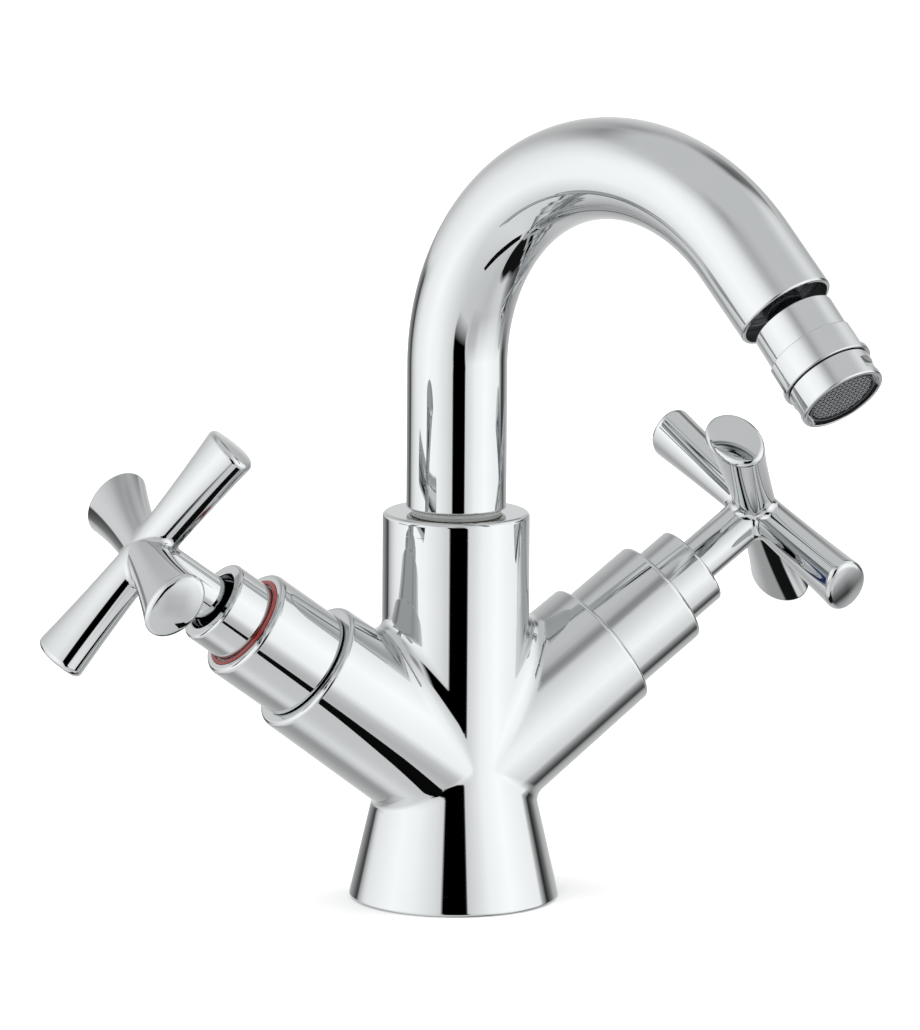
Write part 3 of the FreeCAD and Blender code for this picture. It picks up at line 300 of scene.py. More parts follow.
def grid_faces(rows, columns):
    """Faces of a grid of points that closes on itself both ways."""
    corner = np.arange(rows * columns).reshape(rows, columns)
    right = np.roll(corner, -1, axis=1)
    return np.stack([corner, right, np.roll(right, -1, axis=0), np.roll(corner, -1, axis=0)], -1).reshape(-1, 4)


def grid_normals(grid, faces_out):
    """Normals of a closed grid: the cross product of the steps to the neighbours on both sides."""
    along = np.roll(grid, -1, axis=0) - np.roll(grid, 1, axis=0)
    around = np.roll(grid, -1, axis=1) - np.roll(grid, 1, axis=1)
    normal = np.cross(around, along) * faces_out
    return normal / np.linalg.norm(normal, axis=-1, keepdims=True)


# %% [markdown]
# ## Turned pieces
# Bonnets, sleeves, rings and nozzle parts are turned on a lathe. An outline in radius and height is
# carried round the axis. No real edge is perfectly sharp, and the thin bright line along an edge is what
# makes metal look solid, so every corner of an outline has its own small round.

# %% Outlines with rounded corners, carried round an axis
ARC_STEP = 10.0
AROUND = 256


def rounded(corners):
    """A closed outline: each corner (radius, height, round) becomes an arc that touches both sides."""
    corners = np.array(corners, float)
    place, size = corners[:, :2], corners[:, 2]
    before = np.roll(place, 1, axis=0) - place
    after = np.roll(place, -1, axis=0) - place
    before /= np.linalg.norm(before, axis=1, keepdims=True)
    after /= np.linalg.norm(after, axis=1, keepdims=True)
    half = np.arccos(np.clip((before * after).sum(1), -1, 1)) / 2
    pieces = []
    for here, back, on, radius, opening in zip(place, before, after, size, half):
        if radius == 0:
            pieces.append(here[None])
            continue
        middle = here + (back + on) / np.linalg.norm(back + on) * radius / math.sin(opening)
        start = here + back * radius / math.tan(opening) - middle
        sweep = math.pi - 2 * opening
        sense = np.sign(start[0] * (here - middle)[1] - start[1] * (here - middle)[0])
        count = max(3, math.ceil(math.degrees(sweep) / ARC_STEP) + 1)
        a = np.linspace(0, sweep, count) * sense
        pieces.append(middle + np.stack([
            start[0] * np.cos(a) - start[1] * np.sin(a), start[0] * np.sin(a) + start[1] * np.cos(a)], -1))
    return np.concatenate(pieces)


def turned(node, frame_of_piece, outline, press_flats=None, part="skin"):
    """Point (r, z) of the outline at angle a lies at (r cos a, r sin a, z). Flats press r inwards."""
    a = np.linspace(0, math.tau, AROUND, endpoint=False)
    r, z = outline[:, :1], outline[:, 1:]
    if press_flats:
        r = press_flats(r, z, a)
    grid = np.stack([r * np.cos(a), r * np.sin(a), z + 0 * a], -1)
    step = np.roll(outline, -1, axis=0)
    anticlockwise = np.sign((outline[:, 0] * step[:, 1] - step[:, 0] * outline[:, 1]).sum())
    normals = grid_normals(grid, anticlockwise)
    faces = grid_faces(*grid.shape[:2])
    if anticlockwise < 0:
        faces = faces[:, ::-1]
    points = to_tap(frame_of_piece, grid.reshape(-1, 3))
    return stand_for(node, points, faces, normals.reshape(-1, 3) @ frame_of_piece[0].T, part)


# %% [markdown]
# ## Bonnets, index rings and sleeves
# Each arm ends in a bonnet over the valve. A coloured ring in its roof marks hot or cold, and a smaller
# sleeve stands in front of it. The handle's stem goes into the sleeve's bore.

# %% Valve trim, along each arm's axis
BONNET_FOOT, BONNET_ROOF, BONNET_TOP = 49.8, 66.6, 69.6
BONNET_RADIUS, BONNET_BORE, STEM_OPENING = 14.2, 12.7, 9.1
GROOVE_INSIDE, GROOVE_OUTSIDE, GROOVE_FLOOR = 10.8, 12.0, 68.8
RING_INSIDE, RING_OUTSIDE, RING_FOOT, RING_TOP = 10.85, 11.95, 68.85, 69.95
SLEEVE_RADIUS, SLEEVE_SEAT, SLEEVE_BORE = 10.63, 9.05, 7.8
SLEEVE_FOOT, SLEEVE_STEP, SLEEVE_TOP = 69.65, 74.15, 79.85
for side, valve in VALVE_FRAME.items():
    turned(f"{side}_bonnet", valve, rounded([
        (BONNET_BORE, BONNET_FOOT, 0.2), (BONNET_RADIUS, BONNET_FOOT, 0.3), (BONNET_RADIUS, BONNET_TOP, 1.3),
        (GROOVE_OUTSIDE, BONNET_TOP, 0.12), (GROOVE_OUTSIDE, GROOVE_FLOOR, 0.1), (GROOVE_INSIDE, GROOVE_FLOOR, 0.1),
        (GROOVE_INSIDE, BONNET_TOP, 0.1), (STEM_OPENING, BONNET_TOP, 0.1), (STEM_OPENING, BONNET_ROOF, 0.1),
        (BONNET_BORE, BONNET_ROOF, 0.2)]))
    turned(f"{side}_index_ring", valve, rounded([
        (RING_INSIDE, RING_FOOT, 0.1), (RING_OUTSIDE, RING_FOOT, 0.1), (RING_OUTSIDE, RING_TOP, 0.3),
        (RING_INSIDE, RING_TOP, 0.3)]))
    turned(f"{side}_sleeve", valve, rounded([
        (SLEEVE_SEAT, SLEEVE_FOOT, 0.1), (SLEEVE_RADIUS, SLEEVE_FOOT, 0.15), (SLEEVE_RADIUS, SLEEVE_TOP, 0.9),
        (SLEEVE_BORE, SLEEVE_TOP, 0.35), (SLEEVE_BORE, SLEEVE_STEP, 0.1), (SLEEVE_SEAT, SLEEVE_STEP, 0.1)]))

# %% [markdown]
# ## The slide bush
# A ring of white acetal lies between column and tube, so that the spout doesn't turn metal on metal. Only its
# thin lip shows. It is one more turned outline, about the column's axis.

# %% Slide bush in the column's mouth
BUSH_BORE, BUSH_RADIUS, BUSH_LIP = 9.7, 10.45, 11.0
BUSH_FOOT, BUSH_TOP = 88.05, 97.3
turned("spout_bush", TAP_FRAME, rounded([
    (BUSH_BORE, BUSH_FOOT, 0.1), (BUSH_RADIUS, BUSH_FOOT, 0.2), (BUSH_RADIUS, COLUMN_HEIGHT, 0.05),
    (BUSH_LIP, COLUMN_HEIGHT, 0.05), (BUSH_LIP, BUSH_TOP, 0.15), (BUSH_BORE, BUSH_TOP, 0.1)]))

# %% [markdown]
# ## The spout
# A thin tube bent once. Its wall is an outline too: out along the outside, round the rim, and back along
# the bore. Here the outline is carried along the centre line, so a station is a place on the path and a
# radius about it.

# %% Centre line of the spout tube


def centre_line(s):
    """Place and direction at length s: a straight rise, an arc of one radius, and a straight run."""
    a = np.clip((s - TUBE_RISE) / ARCH_RADIUS, 0, ARCH_ANGLE)
    rise = np.minimum(s, TUBE_RISE)
    run = np.maximum(s - TUBE_RISE - ARCH_RADIUS * ARCH_ANGLE, 0)
    x = ARCH_RADIUS * (1 - np.cos(a)) + run * np.sin(a)
    z = TUBE_BOTTOM + rise + ARCH_RADIUS * np.sin(a) + run * np.cos(a)
    return np.stack([x, 0 * x, z], -1), np.stack([np.sin(a), 0 * a, np.cos(a)], -1)


TUBE_LENGTH = TUBE_RISE + ARCH_RADIUS * ARCH_ANGLE + TUBE_RUN
print("tube length", round(TUBE_LENGTH, 1), "mm")

# %% Wall of the tube, carried along its centre line
PATH_STEP = 1.2
RIM_ROUND, BORE_ROUND = 0.6, 0.15
BORE_RADIUS = TUBE_RADIUS - TUBE_WALL
wall = rounded([
    (TUBE_RADIUS, 0.0, RIM_ROUND), (TUBE_RADIUS, TUBE_LENGTH, RIM_ROUND),
    (BORE_RADIUS, TUBE_LENGTH, BORE_ROUND), (BORE_RADIUS, 0.0, BORE_ROUND)])
stations = np.arange(2 * PATH_STEP, TUBE_LENGTH - PATH_STEP, PATH_STEP)
outside = np.stack([np.full_like(stations, TUBE_RADIUS), stations], -1)
bore = np.stack([np.full_like(stations, BORE_RADIUS), stations[::-1]], -1)
leap = np.diff(wall[:, 1])
outside_from = int(np.flatnonzero(leap > TUBE_LENGTH / 2)[0]) + 1
bore_from = int(np.flatnonzero(leap < -TUBE_LENGTH / 2)[0]) + 1
wall = np.concatenate([wall[:outside_from], outside, wall[outside_from:bore_from], bore, wall[bore_from:]])

centre, ahead = centre_line(wall[:, 1])
sideways = np.broadcast_to(Y_AXIS, centre.shape)
upwards = np.cross(ahead, sideways)
a = np.linspace(0, math.tau, AROUND, endpoint=False)[None, :, None]
from_centre = wall[:, :1, None] * (np.cos(a) * upwards[:, None] + np.sin(a) * sideways[:, None])
grid = centre[:, None] + from_centre
normals = grid_normals(grid, -1)
outwards = np.sign((from_centre * normals)[outside_from + 1].sum())
faces = grid_faces(*grid.shape[:2])
tube = stand_for("spout_tube", to_tap(SPOUT_FRAME, grid.reshape(-1, 3)),
                 faces if outwards < 0 else faces[:, ::-1], (normals * outwards).reshape(-1, 3) @ SPOUT_SPIN.T)

# %% [markdown]
# ## The shaded bore
# The polishing wheel doesn't reach into the tube's mouth, so the bore blurs what it mirrors; its darker grey is
# painted shade of the mouth. The faces of the bore get this finish as a second material, and the socket in the mouth
# gets it too.

# %% Bore of the tube, grey with painted shade
SHADED_BORE_GRAIN = 0.6
SHADED_BORE_GLOSS = (0.32, 0.48)
BORE_MARGIN = 0.01
shaded_bore, tree, shader, place = new_finish("painted_shade_bore")
grain = add_node(tree, "ShaderNodeTexNoise", {
    "Vector": place, "Scale": per_length(SHADED_BORE_GRAIN), "Detail": 3.0})
shade = add_node(tree, "ShaderNodeValToRGB", {"Fac": grain.outputs[0]})
# painted shade: this darker grey stands for the shade in the tube's mouth, not for the plate's own colour
shade.color_ramp.elements[0].color = linear("6d6f70")
shade.color_ramp.elements[1].color = linear("85888a")
gloss = add_node(tree, "ShaderNodeMapRange", {
    "Value": grain.outputs[0], "To Min": SHADED_BORE_GLOSS[0], "To Max": SHADED_BORE_GLOSS[1]})
shader.inputs["Metallic"].default_value = 1.0
tree.links.new(shade.outputs["Color"], shader.inputs["Base Color"])
tree.links.new(gloss.outputs["Result"], shader.inputs["Roughness"])
tube.data.materials.append(shaded_bore)
in_bore = wall[:, 0] < BORE_RADIUS + BORE_MARGIN
tube.data.polygons.foreach_set("material_index", np.repeat(in_bore, AROUND).astype(np.int32))
print("dull rows", int(in_bore.sum()), "of", len(wall))

# %% [markdown]
# ## Ball joint and nozzle
# The tube's mouth holds a hollow ball. A cup and a collar close round it, and the aerator's housing
# screws into the collar. Collar and housing have a pair of milled flats for a spanner: a flat at a
# distance d from the axis limits the radius to d over the cosine of the angle from it.

# %% Rounds of the ball, and flats for a spanner
FLAT_SHOULDER = 0.15
SHOULDER_ROWS = np.array([-0.02, 0, 0.03, 0.075, 0.12, FLAT_SHOULDER, FLAT_SHOULDER + 0.02])
SIDE_ON = 1e-3


def sphere_arc(radius, start, stop, count=14):
    """Corners on a sphere about the ball's centre, from one height to another."""
    height = np.linspace(start, stop, count)
    across = np.sqrt(radius ** 2 - (height - BALL_CENTRE) ** 2)
    return [(x, z, 0.0) for x, z in zip(across, height)]


def milled(distance, low, high):
    """Flats on two sides, between two heights, with a short steep shoulder at each end."""
    def press(r, z, a):
        depth = np.maximum(r - distance / np.maximum(np.abs(np.cos(a)), SIDE_ON), 0)
        rising = np.clip((z - low) / FLAT_SHOULDER, 0, 1)
        falling = np.clip((high - z) / FLAT_SHOULDER, 0, 1)
        return r - depth * rising * falling
    return press


def with_rows(outline, radius, heights):
    """The outline with more rows at these heights on its outer wall, in the wall's own order."""
    on_wall = np.isclose(outline[:, 0], radius)
    first = int(np.flatnonzero(on_wall & np.roll(on_wall, -1))[0])
    ordered = sorted(heights, reverse=bool(outline[first, 1] > outline[first + 1, 1]))
    extra = np.array([(radius, z) for z in ordered])
    return np.concatenate([outline[:first + 1], extra, outline[first + 1:]])


# %% Socket and ball in the tube's mouth
OUTLET_BORE, OUTLET_RADIUS, OUTLET_BACK, OUTLET_FRONT = 9.4, 11.25, -15.0, -3.5
ADAPTER_RADIUS, ADAPTER_BACK, ADAPTER_FRONT = 9.35, -13.0, -5.0
BALL_RADIUS, BALL_NECK, BALL_FRONT, WATERWAY = 8.0, 5.0, 13.5, 3.6
ball_back = BALL_CENTRE - math.sqrt(BALL_RADIUS ** 2 - BALL_NECK ** 2)
socket = turned("outlet_socket", OUTLET_FRAME, rounded([
    (OUTLET_BORE, OUTLET_BACK, 0.2), (OUTLET_RADIUS, OUTLET_BACK, 0.2), (OUTLET_RADIUS, OUTLET_FRONT, 0.3),
    (OUTLET_BORE, OUTLET_FRONT, 0.3)]))
# the socket in the mouth takes the same painted shade
socket.data.materials[0] = shaded_bore
turned("ball_adapter", OUTLET_FRAME, rounded([
    (WATERWAY, ADAPTER_BACK, 0.2), (ADAPTER_RADIUS, ADAPTER_BACK, 0.3), (ADAPTER_RADIUS, ADAPTER_FRONT, 0.4),
    (BALL_NECK, ADAPTER_FRONT, 0.3), *sphere_arc(BALL_RADIUS, ball_back, BALL_FRONT, count=30),
    (WATERWAY, BALL_FRONT, 0.3)]))

# %% Cup and collar that hold the ball
COLLAR_TURN = 145.0
CUP_RADIUS, CUP_BORE, CUP_HOLLOW, CUP_MOUTH, CUP_BACK, CUP_LIP = 10.3, 8.75, 8.3, 7.9, 2.8, 3.6
COLLAR_RADIUS, COLLAR_BACK, COLLAR_FRONT = 11.5, 11.7, 19.3
COLLAR_BORE, COLLAR_THREAD, THREAD_FLOOR = 5.0, 9.6, 15.9
SEAL_RADIUS, SEAL_FLOOR, SEAT_RADIUS, SEAT_BACK = 8.7, 10.8, 8.8, 11.0
COLLAR_FLAT_AT, COLLAR_FLAT_LOW, COLLAR_FLAT_HIGH = 10.7, 11.0, 17.9
seat_front = BALL_CENTRE + math.sqrt(SEAT_RADIUS ** 2 - COLLAR_BORE ** 2)
collar_frame = nozzle_frame(COLLAR_TURN)
turned("nozzle_cup", collar_frame, rounded([
    (CUP_MOUTH, CUP_BACK, 0.1), (CUP_RADIUS, CUP_BACK, 0.4), (CUP_RADIUS, COLLAR_BACK, 0.15),
    (CUP_BORE, COLLAR_BACK, 0.1), (CUP_BORE, BALL_CENTRE, 0.1), *sphere_arc(CUP_HOLLOW, BALL_CENTRE, CUP_LIP)]))
collar = rounded([
    (COLLAR_BORE, THREAD_FLOOR, 0.1), (COLLAR_THREAD, THREAD_FLOOR, 0.1), (COLLAR_THREAD, COLLAR_FRONT, 0.1),
    (COLLAR_RADIUS, COLLAR_FRONT, 0.35), (COLLAR_RADIUS, COLLAR_BACK, 0.35), (SEAL_RADIUS, COLLAR_BACK, 0.1),
    (SEAL_RADIUS, SEAL_FLOOR, 0.1), *sphere_arc(SEAT_RADIUS, SEAT_BACK, seat_front)])
turned("nozzle_body", collar_frame, with_rows(collar, COLLAR_RADIUS, COLLAR_FLAT_HIGH - SHOULDER_ROWS),
       milled(COLLAR_FLAT_AT, COLLAR_FLAT_LOW, COLLAR_FLAT_HIGH))

# %% Housing of the aerator
HOUSING_TURN = 154.0
HOUSING_RADIUS, HOUSING_BORE, HOUSING_THREAD = 10.75, 9.1, 9.5
HOUSING_BACK, HOUSING_SHOULDER, HOUSING_FRONT = 16.9, 19.5, 26.4
MESH_OPENING, MESH_LEDGE, LEDGE_BACK, LEDGE_FRONT = 9.75, 8.75, 23.9, 24.8
HOUSING_FLAT_AT, HOUSING_FLAT_LOW, HOUSING_FLAT_HIGH = 9.85, 21.5, 24.7
housing_frame = nozzle_frame(HOUSING_TURN)
housing = rounded([
    (HOUSING_BORE, HOUSING_BACK, 0.1), (HOUSING_THREAD, HOUSING_BACK, 0.1),
    (HOUSING_THREAD, HOUSING_SHOULDER, 0.1), (HOUSING_RADIUS, HOUSING_SHOULDER, 0.2),
    (HOUSING_RADIUS, HOUSING_FRONT, 0.5), (MESH_OPENING, HOUSING_FRONT, 0.15), (MESH_OPENING, LEDGE_FRONT, 0.1),
    (MESH_LEDGE, LEDGE_FRONT, 0.1), (MESH_LEDGE, LEDGE_BACK, 0.1), (HOUSING_BORE, LEDGE_BACK, 0.1)])
shoulders = np.concatenate([HOUSING_FLAT_LOW + SHOULDER_ROWS, HOUSING_FLAT_HIGH - SHOULDER_ROWS])
turned("aerator_housing", housing_frame, with_rows(housing, HOUSING_RADIUS, shoulders),
       milled(HOUSING_FLAT_AT, HOUSING_FLAT_LOW, HOUSING_FLAT_HIGH))

# %% [markdown]
# ## The aerator's mesh
# Woven steel wire. Each wire is a thin tube whose centre line rises and falls as it passes over and under
# the wires that cross it: a cosine of the distance along it, with the next wire half a wave behind.

# %% Centre lines of the wires
WIRE_PITCH, WIRE_RADIUS, WAVE_SHARE = 0.95, 0.145, 0.75
MESH_RADIUS, MESH_MIDDLE = 8.2, 25.45
STEPS_ALONG = 96

furthest = math.ceil(MESH_RADIUS / WIRE_PITCH)
lanes = np.arange(-furthest, furthest + 1) * WIRE_PITCH
lanes = lanes[np.abs(lanes) < MESH_RADIUS - WIRE_RADIUS]
half_length = np.sqrt((MESH_RADIUS - WIRE_RADIUS) ** 2 - lanes ** 2)
t = np.linspace(-1, 1, STEPS_ALONG)
along = half_length[:, None] * t
number = np.round(lanes / WIRE_PITCH)[:, None]
wave = WIRE_RADIUS * WAVE_SHARE * np.cos(math.pi * (along / WIRE_PITCH + number))
print("wires each way", len(lanes))

# %% Woven wire, all wires as one array
WIRE_SIDES = 8
END_POWER, END_LEAST = 40, 0.02
END_FACES = np.array([[0, 1, 2, 3], [0, 3, 4, 7], [4, 5, 6, 7]])

a = np.linspace(0, math.tau, WIRE_SIDES, endpoint=False)
thickness = np.sqrt(np.clip(1 - np.abs(t) ** END_POWER, END_LEAST, 1))[None, :, None]
out, lift = WIRE_RADIUS * thickness * np.cos(a), WIRE_RADIUS * thickness * np.sin(a)
one_way = np.stack([
    along[..., None] + 0 * out, lanes[:, None, None] + out, wave[..., None] + lift], -1)
other_way = np.stack([
    lanes[:, None, None] + out, along[..., None] + 0 * out, -wave[..., None] + lift], -1)
wires = np.concatenate([one_way, other_way])
wires[..., 2] += MESH_MIDDLE
round_wire = np.stack(np.broadcast_arrays(0 * along[..., None], np.cos(a), np.sin(a)), -1)
wire_normals = np.concatenate([round_wire, round_wire[..., [1, 0, 2]]])
count = len(wires)
corner = np.arange(count * STEPS_ALONG * WIRE_SIDES).reshape(count, STEPS_ALONG, WIRE_SIDES)
beside = np.roll(corner, -1, axis=2)
sides = np.stack([corner[:, :-1], corner[:, 1:], beside[:, 1:], beside[:, :-1]], -1).reshape(count, -1, 4)
quads = np.concatenate([sides, corner[:, 0][:, END_FACES], corner[:, -1][:, END_FACES[:, ::-1]]], axis=1)
quads[:len(lanes)] = quads[:len(lanes), :, ::-1]
stand_for("aerator_mesh", to_tap(housing_frame, wires.reshape(-1, 3)), quads.reshape(-1, 4),
          wire_normals.reshape(-1, 3) @ housing_frame[0].T)

# %% [markdown]
# ## Castings as fields
# The body and the cross handles are castings whose parts flow into each other. A single grid of two
# parameters can't branch, so these are made another way: as a field that gives, at any point, the distance
# to the surface and the direction away from it. Two fields join with a fillet like a rolling ball's, and an
# edge is rounded the same way from the inside. The surface is where the distance is nought.

# %% Plain fields
TINY = 1e-9


def tube_field(p, origin, axis, radius):
    """A round bar without ends: the distance from its axis less its radius."""
    q = p - origin
    q = q - (q @ axis)[:, None] * axis
    r = np.maximum(np.linalg.norm(q, axis=1), TINY)
    return r - radius, q / r[:, None]


def cone_field(p, origin, axis, radius, taper):
    """A round bar whose radius falls by the tangent of the taper along its axis."""
    along = (p - origin) @ axis
    distance, outwards = tube_field(p, origin, axis, radius)
    normal = math.cos(taper) * outwards + math.sin(taper) * axis
    return (distance + math.tan(taper) * along) * math.cos(taper), normal


def flat_field(p, origin, normal):
    """Everything behind a plane."""
    return (p - origin) @ normal, np.broadcast_to(normal, p.shape)


def hollow(field):
    """What is left outside a field."""
    return -field[0], -field[1]


# %% How fields join
NEARLY_PARALLEL = 1e-4


def ball_in_corner(first, second, shift):
    """The way from a corner's rolling ball, in shares of the two normals, and its length."""
    (a, m), (b, n) = first, second
    a, b = a + shift, b + shift
    c = (m * n).sum(1)
    room = np.maximum(1 - c * c, NEARLY_PARALLEL)
    u, v = (a - c * b) / room, (b - c * a) / room
    u[1 - c * c < NEARLY_PARALLEL] = 0
    way = u[:, None] * m + v[:, None] * n
    return u, v, way, np.maximum(np.linalg.norm(way, axis=1), TINY)


def join(first, second, radius):
    """Both solids, with a ball of this radius rolled along the corner between them."""
    u, v, way, length = ball_in_corner(first, second, -radius)
    in_corner = (u < 0) & (v < 0)
    nearer = first[0] < second[0]
    distance = np.where(in_corner, radius - length, np.where(nearer, first[0], second[0]))
    plain = np.where(nearer[:, None], first[1], second[1])
    return distance, np.where(in_corner[:, None], -way / length[:, None], plain)


def trim(first, second, radius):
    """What the two solids share, with the edge between them rounded."""
    u, v, way, length = ball_in_corner(first, second, radius)
    on_edge = (u > 0) & (v > 0)
    further = first[0] > second[0]
    distance = np.where(on_edge, length - radius, np.where(further, first[0], second[0]))
    plain = np.where(further[:, None], first[1], second[1])
    return distance, np.where(on_edge[:, None], way / length[:, None], plain)


def bar(p, origin, axis, radius, start, stop, edge, taper=0.0):
    """A round bar between two distances along its axis."""
    solid = cone_field(p, origin, axis, radius, taper)
    solid = trim(solid, flat_field(p, origin + stop * axis, axis), edge)
    return trim(solid, flat_field(p, origin + start * axis, -axis), edge)


# %% [markdown]
# ## A net over a field
# The field is sampled on a grid of points, first coarsely, and finely only near the surface. Every cell that
# the surface passes through gets one vertex, and every grid edge that it crosses gets a face between the four
# cells round that edge. A few steps along the field's own direction then bring the vertices exactly onto it.

# %% Wrap a field in a net of faces
SETTLING_STEPS = 6
COARSE = 4


def sampled(field, grid, step):
    """The field's distance on a grid: every fourth point first, then each point near the surface."""
    every = grid[::COARSE, ::COARSE, ::COARSE]
    coarse = field(every.reshape(-1, 3))[0].reshape(every.shape[:3])
    value = coarse[np.ix_(*((np.arange(n) + COARSE // 2) // COARSE for n in grid.shape[:3]))]
    near = np.abs(value) < (COARSE + 1) * step
    value[near] = field(grid[near])[0]
    return value


def faces_round(crossings, number):
    """For each crossed edge, the face between the four cells round it, turned to face outwards."""
    faces = []
    for u, v, edges, leaving in crossings:
        ring = []
        for du, dv in ((1, 1), (0, 1), (0, 0), (1, 0)):
            cell = edges.copy()
            cell[:, u] -= du
            cell[:, v] -= dv
            ring.append(number[tuple(cell.T)])
        quad = np.stack(ring, -1)
        faces.append(np.where(leaving[:, None], quad, quad[:, ::-1]))
    return np.concatenate(faces)


def net_over(field, low, high, step):
    """Points, faces and normals of the surface where the field's distance is nought."""
    axes = [a + step * np.arange(COARSE * math.ceil((b - a) / (COARSE * step)) + 1) for a, b in zip(low, high)]
    grid = np.stack(np.meshgrid(*axes, indexing="ij"), -1)
    value = sampled(field, grid, step)
    cells = tuple(n - 1 for n in value.shape)
    total, count = np.zeros((*cells, 3)), np.zeros(cells)
    crossings = []
    for k in range(3):
        u, v = (k + 1) % 3, (k + 2) % 3
        near = np.take(value, range(cells[k]), axis=k)
        far = np.take(value, range(1, cells[k] + 1), axis=k)
        crossed = (near < 0) != (far < 0)
        share = np.where(crossed, near / np.where(crossed, near - far, 1), 0)
        place = np.take(grid, range(cells[k]), axis=k) + share[..., None] * step * np.eye(3)[k]
        for du in (0, 1):
            for dv in (0, 1):
                part = [slice(None)] * 3
                part[u], part[v] = slice(du, cells[u] + du), slice(dv, cells[v] + dv)
                part = tuple(part)
                total += np.where(crossed[part][..., None], place[part], 0)
                count += crossed[part]
        crossings.append((u, v, np.argwhere(crossed), near[crossed] < 0))
    used = count > 0
    number = np.full(cells, -1)
    number[used] = np.arange(used.sum())
    points = total[used] / count[used][:, None]
    for _ in range(SETTLING_STEPS):
        distance, normal = field(points)
        points = points - np.clip(distance, -step, step)[:, None] * normal
    return points, faces_round(crossings, number), field(points)[1]


# %% [markdown]
# ## The mixer body
# Foot and column are one turning with a soft knee between cone and column. The two arms are round bars that lean
# out from it. The polisher's wheel reaches the front and back of the corner between them better than its
# depth, so the fillet is tight between the arms and swells towards front and back. The hollows are drilled
# afterwards.

# %% Foot and column
FOOT_RADIUS, FOOT_HEIGHT, FOOT_EDGE = 26.0, 34.5, 0.8
COLUMN_RADIUS, COLUMN_EDGE, KNEE_ROUND = 18.1, 1.2, 12.0

flare = math.atan((FOOT_RADIUS - COLUMN_RADIUS) / FOOT_HEIGHT)
KNEE_TOP = FOOT_HEIGHT + KNEE_ROUND * math.tan(flare / 2)


def turning_field(p):
    """Foot and column: the radius falls evenly up the cone, then along the knee's arc to the column's."""
    r = np.maximum(np.hypot(p[:, 0], p[:, 1]), TINY)
    drop = np.clip(KNEE_TOP - p[:, 2], 0, KNEE_ROUND * math.sin(flare))
    on_arc = COLUMN_RADIUS + KNEE_ROUND - np.sqrt(KNEE_ROUND ** 2 - drop ** 2)
    cone = np.maximum(KNEE_TOP - KNEE_ROUND * math.sin(flare) - p[:, 2], 0)
    lean = np.tan(np.arcsin(drop / KNEE_ROUND))
    scale = 1 / np.sqrt(1 + lean ** 2)
    normal = np.stack([p[:, 0] / r, p[:, 1] / r, lean], -1) * scale[:, None]
    return (r - on_arc - cone * math.tan(flare)) * scale, normal


print("the foot's sides lean", round(math.degrees(flare), 1), "degrees")

# %% Arms, their fillets and the holes
ARM_ROOT_RADIUS, ARM_END_RADIUS, ARM_LENGTH, ARM_EDGE = 18.0, 17.05, 49.5, 1.2
BLEND_IN_DEPTH, BLEND_SWELL, BLEND_GROWS, BLEND_FURTHEST = 2.6, 5.4, 14.0, 1.1
CAVITY_RADIUS, CAVITY_DEPTH = 17.5, 10.0
BUSH_SEAT_RADIUS, VALVE_SEAT_RADIUS = 10.5, 10.25

arm_taper = math.atan((ARM_ROOT_RADIUS - ARM_END_RADIUS) / ARM_LENGTH)
ARM_AXIS = {side: valve[0] @ Z_AXIS for side, valve in VALVE_FRAME.items()}


def blend_radius(p, axis):
    """The fillet's radius: it grows with the square of the distance from the arms' plane, and along the arm."""
    aside = np.minimum(np.abs(p[:, 1]) / COLUMN_RADIUS, BLEND_FURTHEST) ** 2
    return BLEND_IN_DEPTH + BLEND_SWELL * aside * np.clip((p - CROSSING) @ axis / BLEND_GROWS, 0, 1)


HOLES = [
    # origin, axis, radius, start, stop: cavity, bush's seat, spigot's bore, two hoses, stud, retaining screw
    (np.zeros(3), Z_AXIS, CAVITY_RADIUS, -5.0, CAVITY_DEPTH),
    (COLUMN_HEIGHT * Z_AXIS, -Z_AXIS, BUSH_SEAT_RADIUS, -5.0, 8.4),
    (COLUMN_HEIGHT * Z_AXIS, -Z_AXIS, 9.7, 5.0, 34.4),
    (-8.0 * X_AXIS, Z_AXIS, 4.46, 8.0, 22.0),
    (8.0 * X_AXIS, Z_AXIS, 4.46, 8.0, 22.0),
    (11.5 * Y_AXIS, Z_AXIS, 3.35, 8.0, 24.0),
    ((COLUMN_HEIGHT - 12.0) * Z_AXIS, Y_AXIS, 2.55, 8.0, 22.0),
]
# each valve's seat and chamber
HOLES += [(CROSSING, axis, VALVE_SEAT_RADIUS, 34.5, 55.0) for axis in ARM_AXIS.values()]
HOLES += [(CROSSING, axis, 9.3, 22.0, 36.0) for axis in ARM_AXIS.values()]
print("holes", len(HOLES))

# %% Net over the mixer body
HOLE_EDGE = 0.3
ARM_RIM, COLUMN_RIM, FOOT_RIM, RIM_LAP = 44.0, 92.5, 5.0, 1.5
BODY_STEP, BODY_MARGIN = 0.65, 1.0


def body_field(p):
    """Turning and arms joined with fillets, less the holes. It ends a little inside the turned rims."""
    solid = trim(turning_field(p), flat_field(p, (COLUMN_RIM + RIM_LAP) * Z_AXIS, Z_AXIS), COLUMN_EDGE)
    solid = trim(solid, flat_field(p, (FOOT_RIM - RIM_LAP) * Z_AXIS, -Z_AXIS), FOOT_EDGE)
    for axis in ARM_AXIS.values():
        arm = bar(p, CROSSING, axis, ARM_ROOT_RADIUS, 0.0, ARM_RIM + RIM_LAP, ARM_EDGE, arm_taper)
        solid = join(solid, arm, blend_radius(p, axis))
    for origin, axis, radius, start, stop in HOLES:
        solid = trim(solid, hollow(bar(p, origin, axis, radius, start, stop, HOLE_EDGE)), HOLE_EDGE)
    return solid


arm_reach = ARM_LENGTH * math.cos(math.radians(ARM_LEAN)) + ARM_END_RADIUS
stand_for("mixer_body", *net_over(
    body_field, (-arm_reach, -FOOT_RADIUS - BODY_MARGIN, BODY_MARGIN),
    (arm_reach, FOOT_RADIUS + BODY_MARGIN, COLUMN_HEIGHT + BODY_MARGIN), BODY_STEP))

